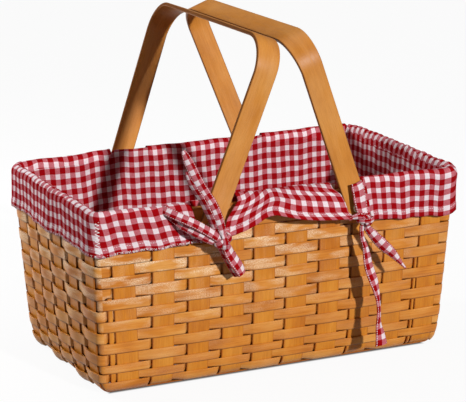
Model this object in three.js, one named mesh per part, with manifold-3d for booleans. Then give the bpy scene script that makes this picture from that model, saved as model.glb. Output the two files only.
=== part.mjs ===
// Woven chipwood picnic basket with a gingham liner and two swinging bentwood handles.
// Millimetres. +X runs along the basket, the front wall faces -Y and +Z is up.
// The origin is on the table, in the middle of the basket's footprint.
import * as THREE from "three";
import Module from "manifold-3d";
import { mergeVertices } from "three/addons/utils/BufferGeometryUtils.js";

const wasm = await Module();
wasm.setup();

// Wood strips
const stripThickness = 1.2;
const uprightWidth = 22;
const cornerStripWidths = [5, 3];
const cornerStripGap = 1.6;
const cornerStripHeight = 102;
const weaveClearance = 0.3;
const crossingMargin = 0.4;

// Body: half sizes are those of the uprights' middle surface
const footHalfLength = 186.9;
const footHalfDepth = 100.5;
const flareLength = 0.0463;
const flareDepth = 0.0957;
const cornerRadius = 5;
const footBendRadius = 5;

// Rows of weavers
const rowCount = 14;
const lowRowCount = 3;
const lowRowHeight = 9.5;
const rowHeight = 11.25;
const rowGap = 0.4;
const firstRowBottom = 4.2;

// Rim bands
const rimBandHeight = 25.5;
const rimBandGap = 1;
const outerBandThickness = 2.2;
const innerBandThickness = 1.8;
const uprightTopGap = 1.5;

// Spacing of the uprights at the rim: end distances from the corners and the hand-set drift
const longUprightCount = 10;
const longEndGaps = [26, 15.7];
const longDrift = 2.5;
const longFootFan = 0.945;
const shortUprightCount = 6;
const shortEndGap = 16.8;
const shortDrift = 9.5;
const shortFootFan = 0.813;

// Handles
const handleWidth = 22;
const handleThickness = 4;
const handleReach = 194.8;
const handleBendRadius = 33;
const handleSplay = 10.5;
const rivetUprightIndex = 2;
const rivetPastUpright = 7.806807;
const pivotBelowRim = 18;
const footLength = 12;
const footOutline = [0.97, 0.8, 0.5, 0];
const legStandOff = 6;
const handleTouchGap = 0.6;
const handleBendSteps = 6;

// Shoulder rivets
const shankRadius = 2.4;
const shankHoleRadius = 2.7;
const shoulderRadius = 5.2;
const rivetHeadRadius = 5.5;
const rivetHeadHeight = 1.8;
const headCrownRadius = 4.1;
const headCrownHeight = 1.45;
const clinchRadius = 4.4;
const clinchHeight = 1.1;
const seatGap = 0.3;
const boreSegments = 16;
const rivetSegments = 12;

// Liner and its cuffs
const clothThickness = 1;
const linerStandOff = 2.3;
const linerFootInset = 9;
const linerCornerRadius = 9;
const linerBendHeight = 16;
const linerBendMiddle = { rise: 5, inset: 2.5 };
const linerHollow = 0.8;
const linerHollowHeight = 91.75;
const cuffDepth = 47;
const cuffRise = 5.5;
const cuffGap = 0.8;
const cuffSlack = 1;
const foldDepth = 1.4;
const foldShape = {
  innerOut: 0.9,
  innerRise: 3.2,
  crownFrom: -1.5,
  crownTo: 2.2,
  crownDrop: [0.6, 0.9],
  outerRise: 1.5,
};
const hemLift = 13;
const cornerMargin = 6;
const leastCornerRadius = 0.6;
const cuffEndSteps = 8;
const cuffBesideSteps = 6;
const cuffPanelSteps = 12;

// Edges of the slits beside the handles, as distances outwards from the rivet
const slitEdges = {
  left: { outerTop: 10.8, outerHem: 7.8, innerTop: -23.2, innerHem: -23.2 },
  right: { outerTop: 7.8, outerHem: 18.8, innerTop: -24.2, innerHem: -5.2 },
};

// Ties, each a knot below the foot of a handle's leg with its ribbon ends, as x and z from the rivet.
// The last end of each is the one sewn to the cuff.
const ribbonWidth = 14;
const ribbonThickness = 1.6;
const ribbonTaper = 0.45;
const knotRadius = 8.5;
const knotFlatness = 0.8;
const knotSegments = [10, 6];
const tieShapes = [
  {
    name: "front_left",
    wall: -1,
    side: -1,
    knot: [10.2, -21.15],
    tails: [
      [[10.2, -21.15], [19.2, -33.15], [28.2, -46.15], [36.2, -59.15]],
      [[11.2, -20.15], [17.2, -0.15], [9.2, 26.85], [-13.8, 55.85], [-28.8, 79.85]],
      [[8.2, -21.15], [-9.8, -17.15], [-30.8, -2.15], [-45.8, 10.85]],
    ],
  },
  {
    name: "front_right",
    wall: -1,
    side: 1,
    knot: [8.8, -20.15],
    tails: [
      [[8.8, -20.15], [13.8, -38.15], [18.8, -65.15], [25.8, -110.15], [31.8, -132.15], [36.8, -153.15]],
      [[8.8, -20.15], [23.8, -34.15], [40.8, -52.15], [57.8, -69.15]],
      [[8.8, -20.15], [18.8, -6.15], [17.8, 14.85]],
    ],
  },
  {
    name: "back_left",
    wall: 1,
    side: -1,
    knot: [9.2, -21.15],
    tails: [
      [[9.2, -21.15], [11.2, -38.15], [15.2, -60.15], [16.2, -86.15]],
      [[9.2, -21.15], [-2.8, -34.15], [-12.8, -52.15], [-18.8, -74.15]],
      [[9.2, -21.15], [-12.8, -10.15], [-18.8, 1.85], [-20.8, 14.85]],
    ],
  },
  {
    name: "back_right",
    wall: 1,
    side: 1,
    knot: [6.8, -20.15],
    tails: [
      [[6.8, -20.15], [3.8, -38.15], [-1.2, -60.15], [-4.2, -90.15]],
      [[6.8, -20.15], [18.8, -34.15], [26.8, -56.15], [31.8, -80.15]],
      [[6.8, -20.15], [17.8, -6.15], [19.8, 14.85]],
    ],
  },
];

const weldDistance = 1e-4;
const longFootBendSteps = 4;
const shortFootBendSteps = 3;

const woodColor = new THREE.Color(0.78, 0.5, 0.22);
const handleColor = new THREE.Color(0.76, 0.52, 0.24);
const clothColor = new THREE.Color(0.8, 0.2, 0.24);
const metalColor = new THREE.Color(0.6, 0.56, 0.48);
const wood = () => new THREE.MeshStandardMaterial({ color: woodColor, roughness: 0.55, metalness: 0 });
const bentWood = () => new THREE.MeshStandardMaterial({ color: handleColor, roughness: 0.5, metalness: 0 });
const cloth = () => new THREE.MeshStandardMaterial({ color: clothColor, roughness: 0.95, metalness: 0 });
const metal = () => new THREE.MeshStandardMaterial({ color: metalColor, roughness: 0.35, metalness: 1 });

// Sizes that follow from the ones above
const halfStrip = stripThickness / 2;
const weaveOffset = stripThickness + weaveClearance;
const floorMiddle = weaveOffset + halfStrip;
const bendCentre = floorMiddle + footBendRadius;
const rows = rowLevels();
const rimBottom = rows[rowCount - 1].top + rimBandGap;
const rimTop = rimBottom + rimBandHeight;
const bandInnerFace = halfStrip + weaveClearance;
const outerBandFace = bandInnerFace + outerBandThickness;
const innerBandFace = -bandInnerFace - innerBandThickness;
const pivotZ = rimTop - pivotBelowRim;
const pivotX = -longCentre(rivetUprightIndex, pivotZ) - rivetPastUpright;
const pivotWall = halfDepthAt(pivotZ);
const legInnerY = pivotWall + outerBandFace + legStandOff;
const legMiddleY = legInnerY + handleThickness / 2;
const lean = leanAngle();
const linerFace = innerBandFace - linerStandOff;
const linerFloor = floorMiddle + weaveOffset + halfStrip + seatGap;
const boreLength = 3 * legMiddleY;

const basket = new THREE.Group();

addUprights();
addWeavers();
addRimBands();
addHandles();
addRivets();
addLiner();
addCuffs();
addTies();

export default basket;

/** Bottom and top of every weaver row; the lowest ones are packed tighter. */
function rowLevels() {
  const levels = [];
  let bottom = firstRowBottom;
  for (let row = 0; row < rowCount; row += 1) {
    const height = row < lowRowCount ? lowRowHeight : rowHeight;
    levels.push({ bottom, top: bottom + height });
    bottom += height + rowGap;
  }
  return levels;
}

function halfLengthAt(z) {
  return footHalfLength + flareLength * z;
}

function halfDepthAt(z) {
  return footHalfDepth + flareDepth * z;
}

/** Lean at which the two crosspieces just touch above the middle of the basket. */
function leanAngle() {
  const outer = handleReach + handleThickness / 2;
  const half = handleWidth / 2;
  const reach = Math.hypot(outer, half);
  return Math.asin((pivotX - handleTouchGap / 2) / reach) - Math.atan2(half, outer);
}

/** Place of upright `i` of the long walls at height z, measured along X. */
function longCentre(i, z) {
  const u = i / (longUprightCount - 1);
  const half = halfLengthAt(rimTop);
  const even = THREE.MathUtils.lerp(-half + longEndGaps[0], half - longEndGaps[1], u);
  return (even + longDrift * Math.sin(2 * Math.PI * u)) * fan(longFootFan, z);
}

/** Place of upright `i` of the end walls at height z, measured along Y. */
function shortCentre(i, z) {
  const u = i / (shortUprightCount - 1);
  const half = halfDepthAt(rimTop) - shortEndGap;
  const even = THREE.MathUtils.lerp(-half, half, u);
  return (even + shortDrift * Math.sin(Math.PI * u)) * fan(shortFootFan, z);
}

function fan(foot, z) {
  return THREE.MathUtils.lerp(foot, 1, z / rimTop);
}

/** Corner strip beside the first or the last long upright: its middle along X at height z. */
function cornerStripCentre(end, z) {
  const i = end === 0 ? 0 : longUprightCount - 1;
  const beside = uprightWidth / 2 + cornerStripGap + cornerStripWidths[end] / 2;
  return longCentre(i, z) - beside;
}

/** How far the wall has turned under, and which way it faces, at a height inside the foot bend. */
function footTurn(z) {
  const below = Math.max(0, bendCentre - z);
  const angle = Math.asin(Math.min(1, below / footBendRadius));
  return { inset: footBendRadius * (1 - Math.cos(angle)), level: Math.cos(angle), drop: Math.sin(angle) };
}

/** Point `out` millimetres outside the middle surface of a wall. */
function wallPoint(side, along, z, out) {
  const turn = footTurn(z);
  const reach = out * turn.level - turn.inset;
  const height = z - out * turn.drop;
  const acrossX = halfLengthAt(z) + reach;
  const acrossY = halfDepthAt(z) + reach;
  if (side === "front") return new THREE.Vector3(along, -acrossY, height);
  if (side === "back") return new THREE.Vector3(along, acrossY, height);
  if (side === "right") return new THREE.Vector3(acrossX, along, height);
  return new THREE.Vector3(-acrossX, along, height);
}

/** Point on the rounded corner between two walls; `turnAngle` is the compass angle of its normal. */
function cornerPoint(signX, signY, turnAngle, z, out, radius = cornerRadius) {
  const turn = footTurn(z);
  const reach = radius + out * turn.level - turn.inset;
  const x = signX * (halfLengthAt(z) - radius + reach * Math.cos(turnAngle));
  const y = signY * (halfDepthAt(z) - radius + reach * Math.sin(turnAngle));
  return new THREE.Vector3(x, y, z - out * turn.drop);
}

/** Closed solid through rings of matching points, looped or capped at both ends. */
function loft(rings, looped = false) {
  const count = rings[0].length;
  const index = [];
  const spans = looped ? rings.length : rings.length - 1;
  for (let r = 0; r < spans; r += 1) {
    const here = r * count;
    const next = ((r + 1) % rings.length) * count;
    for (let c = 0; c < count; c += 1) {
      const d = (c + 1) % count;
      index.push(here + c, here + d, next + d, here + c, next + d, next + c);
    }
  }
  if (!looped) {
    const end = (rings.length - 1) * count;
    for (let c = 1; c < count - 1; c += 1) {
      index.push(0, c + 1, c, end, end + c, end + c + 1);
    }
  }
  return facingOut(rings.flat(), index);
}

/** Indexed geometry whose faces are turned outwards. */
function facingOut(points, index) {
  let volume = 0;
  for (let i = 0; i < index.length; i += 3) {
    const [a, b, c] = [points[index[i]], points[index[i + 1]], points[index[i + 2]]];
    volume += a.dot(new THREE.Vector3().crossVectors(b, c));
  }
  if (volume < 0) index.reverse();
  const geometry = new THREE.BufferGeometry();
  const flat = points.flatMap((p) => [p.x, p.y, p.z]);
  geometry.setAttribute("position", new THREE.Float32BufferAttribute(flat, 3));
  geometry.setIndex(index);
  geometry.computeVertexNormals();
  return geometry;
}

/** The same surface with its matching points joined. */
function welded(geometry) {
  const bare = geometry.clone();
  bare.deleteAttribute("normal");
  bare.deleteAttribute("uv");
  const joined = mergeVertices(bare, weldDistance);
  joined.computeVertexNormals();
  return joined;
}

function solidOf(geometry) {
  const joined = welded(geometry);
  return new wasm.Manifold(new wasm.Mesh({
    numProp: 3,
    vertProperties: new Float32Array(joined.attributes.position.array),
    triVerts: new Uint32Array(joined.index.array),
  }));
}

function geometryOf(solid) {
  const mesh = solid.getMesh();
  const geometry = new THREE.BufferGeometry();
  geometry.setAttribute("position", new THREE.Float32BufferAttribute(mesh.vertProperties, 3));
  geometry.setIndex(Array.from(mesh.triVerts));
  geometry.computeVertexNormals();
  return geometry;
}

function add(name, geometry, material) {
  const mesh = new THREE.Mesh(geometry, material);
  mesh.name = name;
  basket.add(mesh);
  return mesh;
}

/** Flat strip along a path: its width lies along `across`, and its bends are mitred. */
function strip(path, across, widths, thickness) {
  const faces = path.slice(1).map((point, i) => {
    const tangent = point.clone().sub(path[i]);
    return new THREE.Vector3().crossVectors(tangent, across).normalize();
  });
  const rings = path.map((point, i) => {
    const before = faces[Math.max(0, i - 1)];
    const after = faces[Math.min(faces.length - 1, i)];
    const mitre = before.clone().add(after).normalize();
    const rise = thickness / 2 / mitre.dot(before);
    const corner = (w, t) => point.clone()
      .addScaledVector(across, (w * widths[i]) / 2)
      .addScaledVector(mitre, t * rise);
    return [corner(-1, -1), corner(1, -1), corner(1, 1), corner(-1, 1)];
  });
  return loft(rings);
}

/** Strip of one width all along its path. */
function evenStrip(path, across, width) {
  return strip(path, across, path.map(() => width), stripThickness);
}

/** Heights and insets of a strip as it turns up from the floor, from the floor end upwards. */
function footBend(steps) {
  const points = [];
  for (let i = 1; i <= steps; i += 1) {
    const angle = (Math.PI / 2) * (i / steps);
    points.push({
      inset: footBendRadius * (1 - Math.sin(angle)),
      z: bendCentre - footBendRadius * Math.cos(angle),
    });
  }
  return points;
}

/** Upright that runs down the front wall, under the floor and up the back wall. */
function longUpright(centreAt, phase, topZ) {
  const point = (y, z) => new THREE.Vector3(centreAt(z), y, z);
  const rise = footBend(longFootBendSteps);
  const wall = (sign) => rise.map((p) => point(sign * (halfDepthAt(p.z) - p.inset), p.z));
  const top = (sign) => point(sign * halfDepthAt(topZ), topZ);
  const floor = [];
  for (let j = 0; j < shortUprightCount; j += 1) {
    const side = (phase + j) % 2 === 0 ? -1 : 1;
    const z = floorMiddle + side * weaveOffset;
    const centre = shortCentre(j, 0);
    const half = uprightWidth / 2 + crossingMargin;
    floor.push(point(centre - half, z), point(centre + half, z));
  }
  return [top(-1), ...wall(-1).reverse(), ...floor, ...wall(1), top(1)];
}

/** Upright that runs down the left wall, straight across the floor and up the right wall. */
function shortUpright(j, topZ) {
  const point = (x, z) => new THREE.Vector3(x, shortCentre(j, z), z);
  const rise = footBend(shortFootBendSteps);
  const wall = (sign) => rise.map((p) => point(sign * (halfLengthAt(p.z) - p.inset), p.z));
  const top = (sign) => point(sign * halfLengthAt(topZ), topZ);
  const flat = footHalfLength - footBendRadius;
  const floor = [point(-flat, floorMiddle), point(flat, floorMiddle)];
  return [top(-1), ...wall(-1).reverse(), ...floor, ...wall(1), top(1)];
}

function addUprights() {
  const alongX = new THREE.Vector3(1, 0, 0);
  const alongY = new THREE.Vector3(0, 1, 0);
  const topZ = rimTop - uprightTopGap;
  for (let i = 0; i < longUprightCount; i += 1) {
    const path = longUpright((z) => longCentre(i, z), i, topZ);
    const geometry = evenStrip(path, alongX, uprightWidth);
    add(`upright_long_${pad(i + 1)}`, drilled(geometry, longCentre(i, pivotZ)), wood());
  }
  for (let j = 0; j < shortUprightCount; j += 1) {
    const geometry = evenStrip(shortUpright(j, topZ), alongY, uprightWidth);
    add(`upright_short_${pad(j + 1)}`, geometry, wood());
  }
  for (const end of [0, 1]) {
    const phase = end === 0 ? 0 : longUprightCount - 1;
    const path = longUpright((z) => cornerStripCentre(end, z), phase, cornerStripHeight);
    const side = end === 0 ? "left" : "right";
    add(`corner_strip_${side}`, evenStrip(path, alongX, cornerStripWidths[end]), wood());
  }
}

/** A long upright with the rivet holes that its width meets. */
function drilled(geometry, centre) {
  const hits = [-pivotX, pivotX].filter((x) => Math.abs(x - centre) < uprightWidth / 2 + shankHoleRadius);
  if (hits.length === 0) return geometry;
  return geometryOf(hits.reduce((solid, x) => solid.subtract(rivetHole(x)), solidOf(geometry)));
}

/** Cylinder along Y through the whole basket, on a handle's axis. */
function rivetHole(x, z = pivotZ) {
  const cylinder = new THREE.CylinderGeometry(shankHoleRadius, shankHoleRadius, boreLength, boreSegments);
  cylinder.translate(x, 0, z);
  return solidOf(cylinder);
}

/** Stations around the basket where a weaver changes side, going round from the front left corner. */
function weaverStations(row) {
  const half = uprightWidth / 2 + crossingMargin;
  const stations = [];
  let crossing = 0;
  const pass = (side, centreAt, reverse, before, after) => {
    const out = (crossing + row) % 2 === 0 ? weaveOffset : -weaveOffset;
    const first = (z, o) => wallPoint(side, centreAt(z) - half - before, z, out + o);
    const second = (z, o) => wallPoint(side, centreAt(z) + half + after, z, out + o);
    stations.push(...(reverse ? [second, first] : [first, second]));
    crossing += 1;
  };
  const corner = (signX, signY, angles) => {
    angles.forEach((angle) => stations.push((z, o) => cornerPoint(signX, signY, angle, z, o)));
  };
  const beside = (i) => {
    if (i === 0) return cornerStripGap + cornerStripWidths[0];
    return i === longUprightCount - 1 ? cornerStripGap + cornerStripWidths[1] : 0;
  };
  const rising = [...Array(longUprightCount).keys()];
  const across = [...Array(shortUprightCount).keys()];
  const turning = [Math.PI / 8, (3 * Math.PI) / 8];
  const turningBack = [...turning].reverse();
  rising.forEach((i) => pass("front", (z) => longCentre(i, z), false, beside(i), 0));
  corner(1, -1, turningBack);
  across.forEach((j) => pass("right", (z) => shortCentre(j, z), false, 0, 0));
  corner(1, 1, turning);
  rising.reverse().forEach((i) => pass("back", (z) => longCentre(i, z), true, beside(i), 0));
  corner(-1, 1, turningBack);
  across.reverse().forEach((j) => pass("left", (z) => shortCentre(j, z), true, 0, 0));
  corner(-1, -1, turning);
  return stations;
}

function addWeavers() {
  rows.forEach(({ bottom, top }, row) => {
    const levels = bottom < bendCentre ? [bottom, bendCentre, top] : [bottom, top];
    const rings = weaverStations(row).map((at) => [
      ...levels.map((z) => at(z, halfStrip)),
      ...[...levels].reverse().map((z) => at(z, -halfStrip)),
    ]);
    add(`weaver_${pad(row + 1)}`, loft(rings, true), wood());
  });
}

/** Flat hoop round the basket between two offsets from the middle surface. */
function hoop(bottom, top, inner, outer) {
  const signs = [[1, -1], [1, 1], [-1, 1], [-1, -1]];
  const quarter = [0, 1, 2, 3].map((i) => (Math.PI / 6) * i);
  const rings = signs.flatMap(([signX, signY]) => {
    const angles = signX * signY > 0 ? quarter : [...quarter].reverse();
    return angles.map((angle) => [
      cornerPoint(signX, signY, angle, bottom, outer),
      cornerPoint(signX, signY, angle, top, outer),
      cornerPoint(signX, signY, angle, top, inner),
      cornerPoint(signX, signY, angle, bottom, inner),
    ]);
  });
  return loft(rings, true);
}

function addRimBands() {
  const drill = (geometry) => geometryOf(
    solidOf(geometry).subtract(rivetHole(-pivotX)).subtract(rivetHole(pivotX)),
  );
  add("rim_band_outer", drill(hoop(rimBottom, rimTop, bandInnerFace, outerBandFace)), wood());
  add("rim_band_inner", drill(hoop(rimBottom, rimTop, innerBandFace, -bandInnerFace)), wood());
}

/** Bent strip of one handle, standing upright over its pivot axis at z = 0. */
function handleGeometry() {
  const half = handleWidth / 2;
  const path = [];
  const widths = [];
  const place = (y, z, width) => {
    path.push(new THREE.Vector3(0, y, z));
    widths.push(width);
  };
  const legTop = handleReach - handleBendRadius;
  const splayAt = (z) => legMiddleY + (handleSplay * z) / legTop;
  const topY = splayAt(legTop);
  footOutline.forEach((share) => {
    const z = -footLength + half * (1 - share);
    place(-splayAt(z), z, handleWidth * Math.sqrt(1 - share * share));
  });
  place(-splayAt(legTop), legTop, handleWidth);
  for (let i = 1; i <= handleBendSteps; i += 1) {
    const angle = (Math.PI / 2) * (i / handleBendSteps);
    const y = topY - handleBendRadius * (1 - Math.cos(angle));
    place(-y, legTop + handleBendRadius * Math.sin(angle), handleWidth);
  }
  const firstHalf = path.length;
  for (let i = firstHalf - 1; i >= 0; i -= 1) {
    place(-path[i].y, path[i].z, widths[i]);
  }
  const blank = strip(path, new THREE.Vector3(1, 0, 0), widths, handleThickness);
  return geometryOf(solidOf(blank).subtract(rivetHole(0, 0)));
}

function addHandles() {
  for (const [name, sign] of [["handle_left", -1], ["handle_right", 1]]) {
    const handle = add(name, handleGeometry(), bentWood());
    handle.position.set(sign * pivotX, 0, pivotZ);
    handle.rotation.y = -sign * lean;
  }
}

/** Rivet with a shoulder that holds the leg clear of the cloth, its head towards +Y. */
function rivetGeometry() {
  const splay = handleSplay / (handleReach - handleBendRadius);
  const shoulderStart = pivotWall + outerBandFace + seatGap + flareDepth * shoulderRadius;
  const shoulderEnd = legInnerY - seatGap - splay * shoulderRadius;
  const headStart = legInnerY + handleThickness + seatGap + splay * rivetHeadRadius;
  const clinchEnd = pivotWall + innerBandFace - seatGap - flareDepth * clinchRadius;
  const profile = [
    [0, clinchEnd - clinchHeight], [clinchRadius, clinchEnd - clinchHeight], [clinchRadius, clinchEnd],
    [shankRadius, clinchEnd], [shankRadius, shoulderStart], [shoulderRadius, shoulderStart],
    [shoulderRadius, shoulderEnd], [shankRadius, shoulderEnd], [shankRadius, headStart],
    [rivetHeadRadius, headStart], [headCrownRadius, headStart + headCrownHeight],
    [0, headStart + rivetHeadHeight],
  ].map(([r, y]) => new THREE.Vector2(r, y));
  return welded(new THREE.LatheGeometry(profile, rivetSegments));
}

function addRivets() {
  for (const [wall, turn] of [["front", Math.PI], ["back", 0]]) {
    for (const [side, sign] of [["left", -1], ["right", 1]]) {
      const rivet = add(`rivet_${wall}_${side}`, rivetGeometry(), metal());
      rivet.position.set(sign * pivotX, 0, pivotZ);
      rivet.rotation.z = turn;
    }
  }
}

/** Cloth bag inside the basket: two matching skins joined along the top edge. */
function addLiner() {
  const top = rimTop - seatGap;
  const levels = [
    { z: linerFloor, inset: linerFootInset },
    { z: linerFloor + linerBendMiddle.rise, inset: linerBendMiddle.inset },
    { z: linerFloor + linerBendHeight, inset: 0 },
    { z: linerHollowHeight, inset: linerHollow },
    { z: rimBottom, inset: 0 },
    { z: top, inset: 0 },
  ];
  const skin = (depth) => levels.map(({ z, inset }, i) => {
    const height = i === 0 ? z + depth : z;
    return cornerRing(height, linerFace - depth - inset, linerCornerRadius - depth);
  });
  const outer = skin(0);
  const inner = skin(clothThickness);
  add("liner_bag", loft([...outer, ...inner.reverse()]), cloth());
}

/** Ring of points round the basket at one height, with three points on each corner. */
function cornerRing(z, out, radius) {
  const quarter = [0, Math.PI / 4, Math.PI / 2];
  const signs = [[1, -1], [1, 1], [-1, 1], [-1, -1]];
  return signs.flatMap(([signX, signY]) => {
    const angles = signX * signY > 0 ? quarter : [...quarter].reverse();
    return angles.map((angle) => new THREE.Vector3(
      signX * (halfLengthAt(z) + out - radius * (1 - Math.cos(angle))),
      signY * (halfDepthAt(z) + out - radius * (1 - Math.sin(angle))),
      z,
    ));
  });
}

/** Middle line of a cuff's section, from the bag's top edge over the rim and down to the hem. */
function cuffSection(depth) {
  const start = linerFace - clothThickness / 2;
  const face = outerBandFace + cuffGap + clothThickness / 2;
  const crown = rimTop + cuffRise;
  return [
    { out: start, z: rimTop + seatGap, fall: 0 },
    { out: start + foldShape.innerOut, z: rimTop + foldShape.innerRise, fall: 0 },
    { out: foldShape.crownFrom, z: crown - foldShape.crownDrop[0], fall: 0 },
    { out: foldShape.crownTo, z: crown - foldShape.crownDrop[1], fall: 0 },
    { out: face, z: rimTop + foldShape.outerRise, fall: 0.05 },
    { out: face, z: rimTop - 0.5 * depth, fall: 0.5 },
    { out: face + cuffSlack, z: rimTop - depth, fall: 1 },
  ];
}

/** Sheet over the rim. `columns` gives, for each line down the cloth, its place, fold and hem lift. */
function cuffGeometry(columns) {
  const depth = cuffDepth - cuffRise;
  const section = cuffSection(depth);
  const normals = section.map((_, i) => {
    const before = section[Math.max(0, i - 1)];
    const after = section[Math.min(section.length - 1, i + 1)];
    return new THREE.Vector2(-(after.z - before.z), after.out - before.out).normalize();
  });
  const half = clothThickness / 2;
  const rings = columns.map(({ at, fold, lift }) => {
    const corner = (i, side) => {
      const { out, z, fall } = section[i];
      const height = z + lift * fall + side * half * normals[i].y;
      return at(height, out + fold * fall + side * half * normals[i].x, fall);
    };
    const indices = section.map((_, i) => i);
    return [...indices.map((i) => corner(i, 1)), ...indices.reverse().map((i) => corner(i, -1))];
  });
  return banded(rings);
}

/** Loft of a thin, bent section: its two ends are closed as a strip between the two skins. */
function banded(rings) {
  const count = rings[0].length;
  const index = [];
  for (let r = 0; r < rings.length - 1; r += 1) {
    for (let c = 0; c < count; c += 1) {
      const d = (c + 1) % count;
      index.push(r * count + c, r * count + d, (r + 1) * count + d);
      index.push(r * count + c, (r + 1) * count + d, (r + 1) * count + c);
    }
  }
  const end = (rings.length - 1) * count;
  for (let c = 0; c < count / 2 - 1; c += 1) {
    const opposite = count - 1 - c;
    index.push(c, opposite, opposite - 1, c, opposite - 1, c + 1);
    index.push(end + c, end + opposite - 1, end + opposite, end + c, end + c + 1, end + opposite - 1);
  }
  return facingOut(rings.flat(), index);
}

/** Lines down a cuff's flat stretch along one wall, from one edge to the other. */
function cuffRun(side, from, to, steps, foldAt, liftAt) {
  return [...Array(steps + 1).keys()].map((k) => {
    const u = k / steps;
    return {
      at: (z, out, fall) => wallPoint(side, THREE.MathUtils.lerp(from(z, fall), to(z, fall), u), z, out),
      fold: foldAt(u),
      lift: liftAt(u),
    };
  });
}

/** Lines down a cuff where it turns a corner of the basket. */
function cuffCorner(signX, signY, reverse) {
  const angles = [0, 1, 2, 3].map((i) => (Math.PI / 6) * i);
  if (reverse) angles.reverse();
  return angles.map((angle) => ({
    at: (z, out) => {
      const reach = Math.max(out, leastCornerRadius - cornerRadius);
      return cornerPoint(signX, signY, angle, z, reach);
    },
    fold: foldDepth * 0.5,
    lift: 0,
  }));
}

function addCuffs() {
  const waves = (count) => (u) => foldDepth * Math.sin(Math.PI * count * u) ** 2;
  const level = () => 0;
  const slit = slitEdges;
  const edge = (sign, top, hem) => (z, fall) => sign * (pivotX + THREE.MathUtils.lerp(top, hem, fall));
  const cornerX = (sign, inward) => (z) => sign * (halfLengthAt(z) - cornerRadius - inward);
  const cornerY = (sign, inward) => (z) => sign * (halfDepthAt(z) - cornerRadius - inward);

  for (const [name, sign, edges] of [["left", -1, slit.left], ["right", 1, slit.right]]) {
    const outerEdge = edge(sign, edges.outerTop, edges.outerHem);
    const columns = [
      ...cuffRun("front", outerEdge, cornerX(sign, cornerMargin), cuffBesideSteps, waves(2), level),
      ...cuffCorner(sign, -1, true),
      ...cuffRun(name, cornerY(-1, cornerMargin), cornerY(1, cornerMargin), cuffEndSteps, waves(3), level),
      ...cuffCorner(sign, 1, false),
      ...cuffRun("back", cornerX(sign, cornerMargin), outerEdge, cuffBesideSteps, waves(2), level),
    ];
    add(`cuff_${name}`, cuffGeometry(columns), cloth());
  }

  const from = edge(-1, slit.left.innerTop, slit.left.innerHem);
  const to = edge(1, slit.right.innerTop, slit.right.innerHem);
  const swag = (u) => hemLift * Math.sin(Math.PI * u) ** 1.5;
  for (const wall of ["front", "back"]) {
    add(`cuff_${wall}`, cuffGeometry(cuffRun(wall, from, to, cuffPanelSteps, waves(3), swag)), cloth());
  }
}

/** Outermost face of a cuff at height z; below the hem it hangs straight. */
function clothFaceY(z) {
  const hemZ = rimTop - cuffDepth + cuffRise;
  const height = THREE.MathUtils.clamp(z, hemZ, rimTop);
  const fall = (rimTop - height) / (rimTop - hemZ);
  return halfDepthAt(height) + outerBandFace + cuffGap + clothThickness + fall * (cuffSlack + foldDepth);
}

/** Ribbon through points given as x and z, lying in the layer between the cuff and the leg. */
function ribbon(points, knotY, wall, widths) {
  const path = points.map(([x, z], i) => {
    const y = i === 0 ? knotY : clothFaceY(z) + seatGap + ribbonThickness / 2;
    return new THREE.Vector3(x, wall * y, z);
  });
  const rings = path.map((point, i) => {
    const before = path[Math.max(0, i - 1)];
    const after = path[Math.min(path.length - 1, i + 1)];
    const along = after.clone().sub(before).normalize();
    const across = new THREE.Vector3(-along.z, 0, along.x).multiplyScalar(widths[i] / 2);
    const out = new THREE.Vector3(0, ribbonThickness / 2, 0);
    return [[-1, -1], [1, -1], [1, 1], [-1, 1]].map(
      ([w, t]) => point.clone().addScaledVector(across, w).addScaledVector(out, t),
    );
  });
  return loft(rings);
}

function addTies() {
  for (const { name, wall, side, knot, tails } of tieShapes) {
    const onWall = ([x, z]) => [side * pivotX + x, pivotZ + z];
    const [knotX, knotZ] = onWall(knot);
    const inner = halfDepthAt(knotZ + knotRadius) + weaveOffset + halfStrip + seatGap;
    const outer = legInnerY - seatGap;
    const middle = (inner + outer) / 2;
    const ball = new THREE.SphereGeometry(1, ...knotSegments);
    ball.scale(knotRadius, (outer - inner) / 2, knotRadius * knotFlatness);
    ball.translate(knotX, wall * middle, knotZ);
    const solid = tails.reduce((whole, tail) => {
      const widths = tail.map((_, i) => ribbonWidth * (i === 0 || i === tail.length - 1 ? ribbonTaper : 1));
      return whole.add(solidOf(ribbon(tail.map(onWall), middle, wall, widths)));
    }, solidOf(ball));
    add(`tie_${name}`, geometryOf(solid), cloth());
  }
}

function pad(n) {
  return String(n).padStart(2, "0");
}
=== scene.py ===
"""Woven picnic basket with a gingham liner, its cuffs and ties, and two bentwood swing handles.

Lengths are millimetres until a mesh is made, which is in metres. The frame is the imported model's own:
+X along the basket, the front wall towards -Y, +Z up, the table at z = 0.
"""

import math

import bpy
import numpy as np
from mathutils import Matrix


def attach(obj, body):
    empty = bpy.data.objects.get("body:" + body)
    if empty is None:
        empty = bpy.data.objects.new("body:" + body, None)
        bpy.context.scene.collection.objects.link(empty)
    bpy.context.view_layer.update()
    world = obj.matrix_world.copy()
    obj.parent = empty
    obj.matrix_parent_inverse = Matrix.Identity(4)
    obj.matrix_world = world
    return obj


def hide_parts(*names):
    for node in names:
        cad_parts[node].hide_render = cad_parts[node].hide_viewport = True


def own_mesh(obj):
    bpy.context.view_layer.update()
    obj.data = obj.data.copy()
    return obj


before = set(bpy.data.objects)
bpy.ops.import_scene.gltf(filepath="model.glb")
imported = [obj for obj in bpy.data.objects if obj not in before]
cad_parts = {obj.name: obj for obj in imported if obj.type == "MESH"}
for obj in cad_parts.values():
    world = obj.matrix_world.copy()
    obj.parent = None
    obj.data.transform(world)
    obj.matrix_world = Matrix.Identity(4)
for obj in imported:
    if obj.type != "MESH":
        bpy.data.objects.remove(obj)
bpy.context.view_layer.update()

MM = 0.001
QUARTER = math.pi / 2
ALONG_X = np.array([1.0, 0, 0])
WHITE = (1, 1, 1)
SIDES = (("left", -1), ("right", 1))
WALLS = (("front", -1), ("back", 1))
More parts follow.
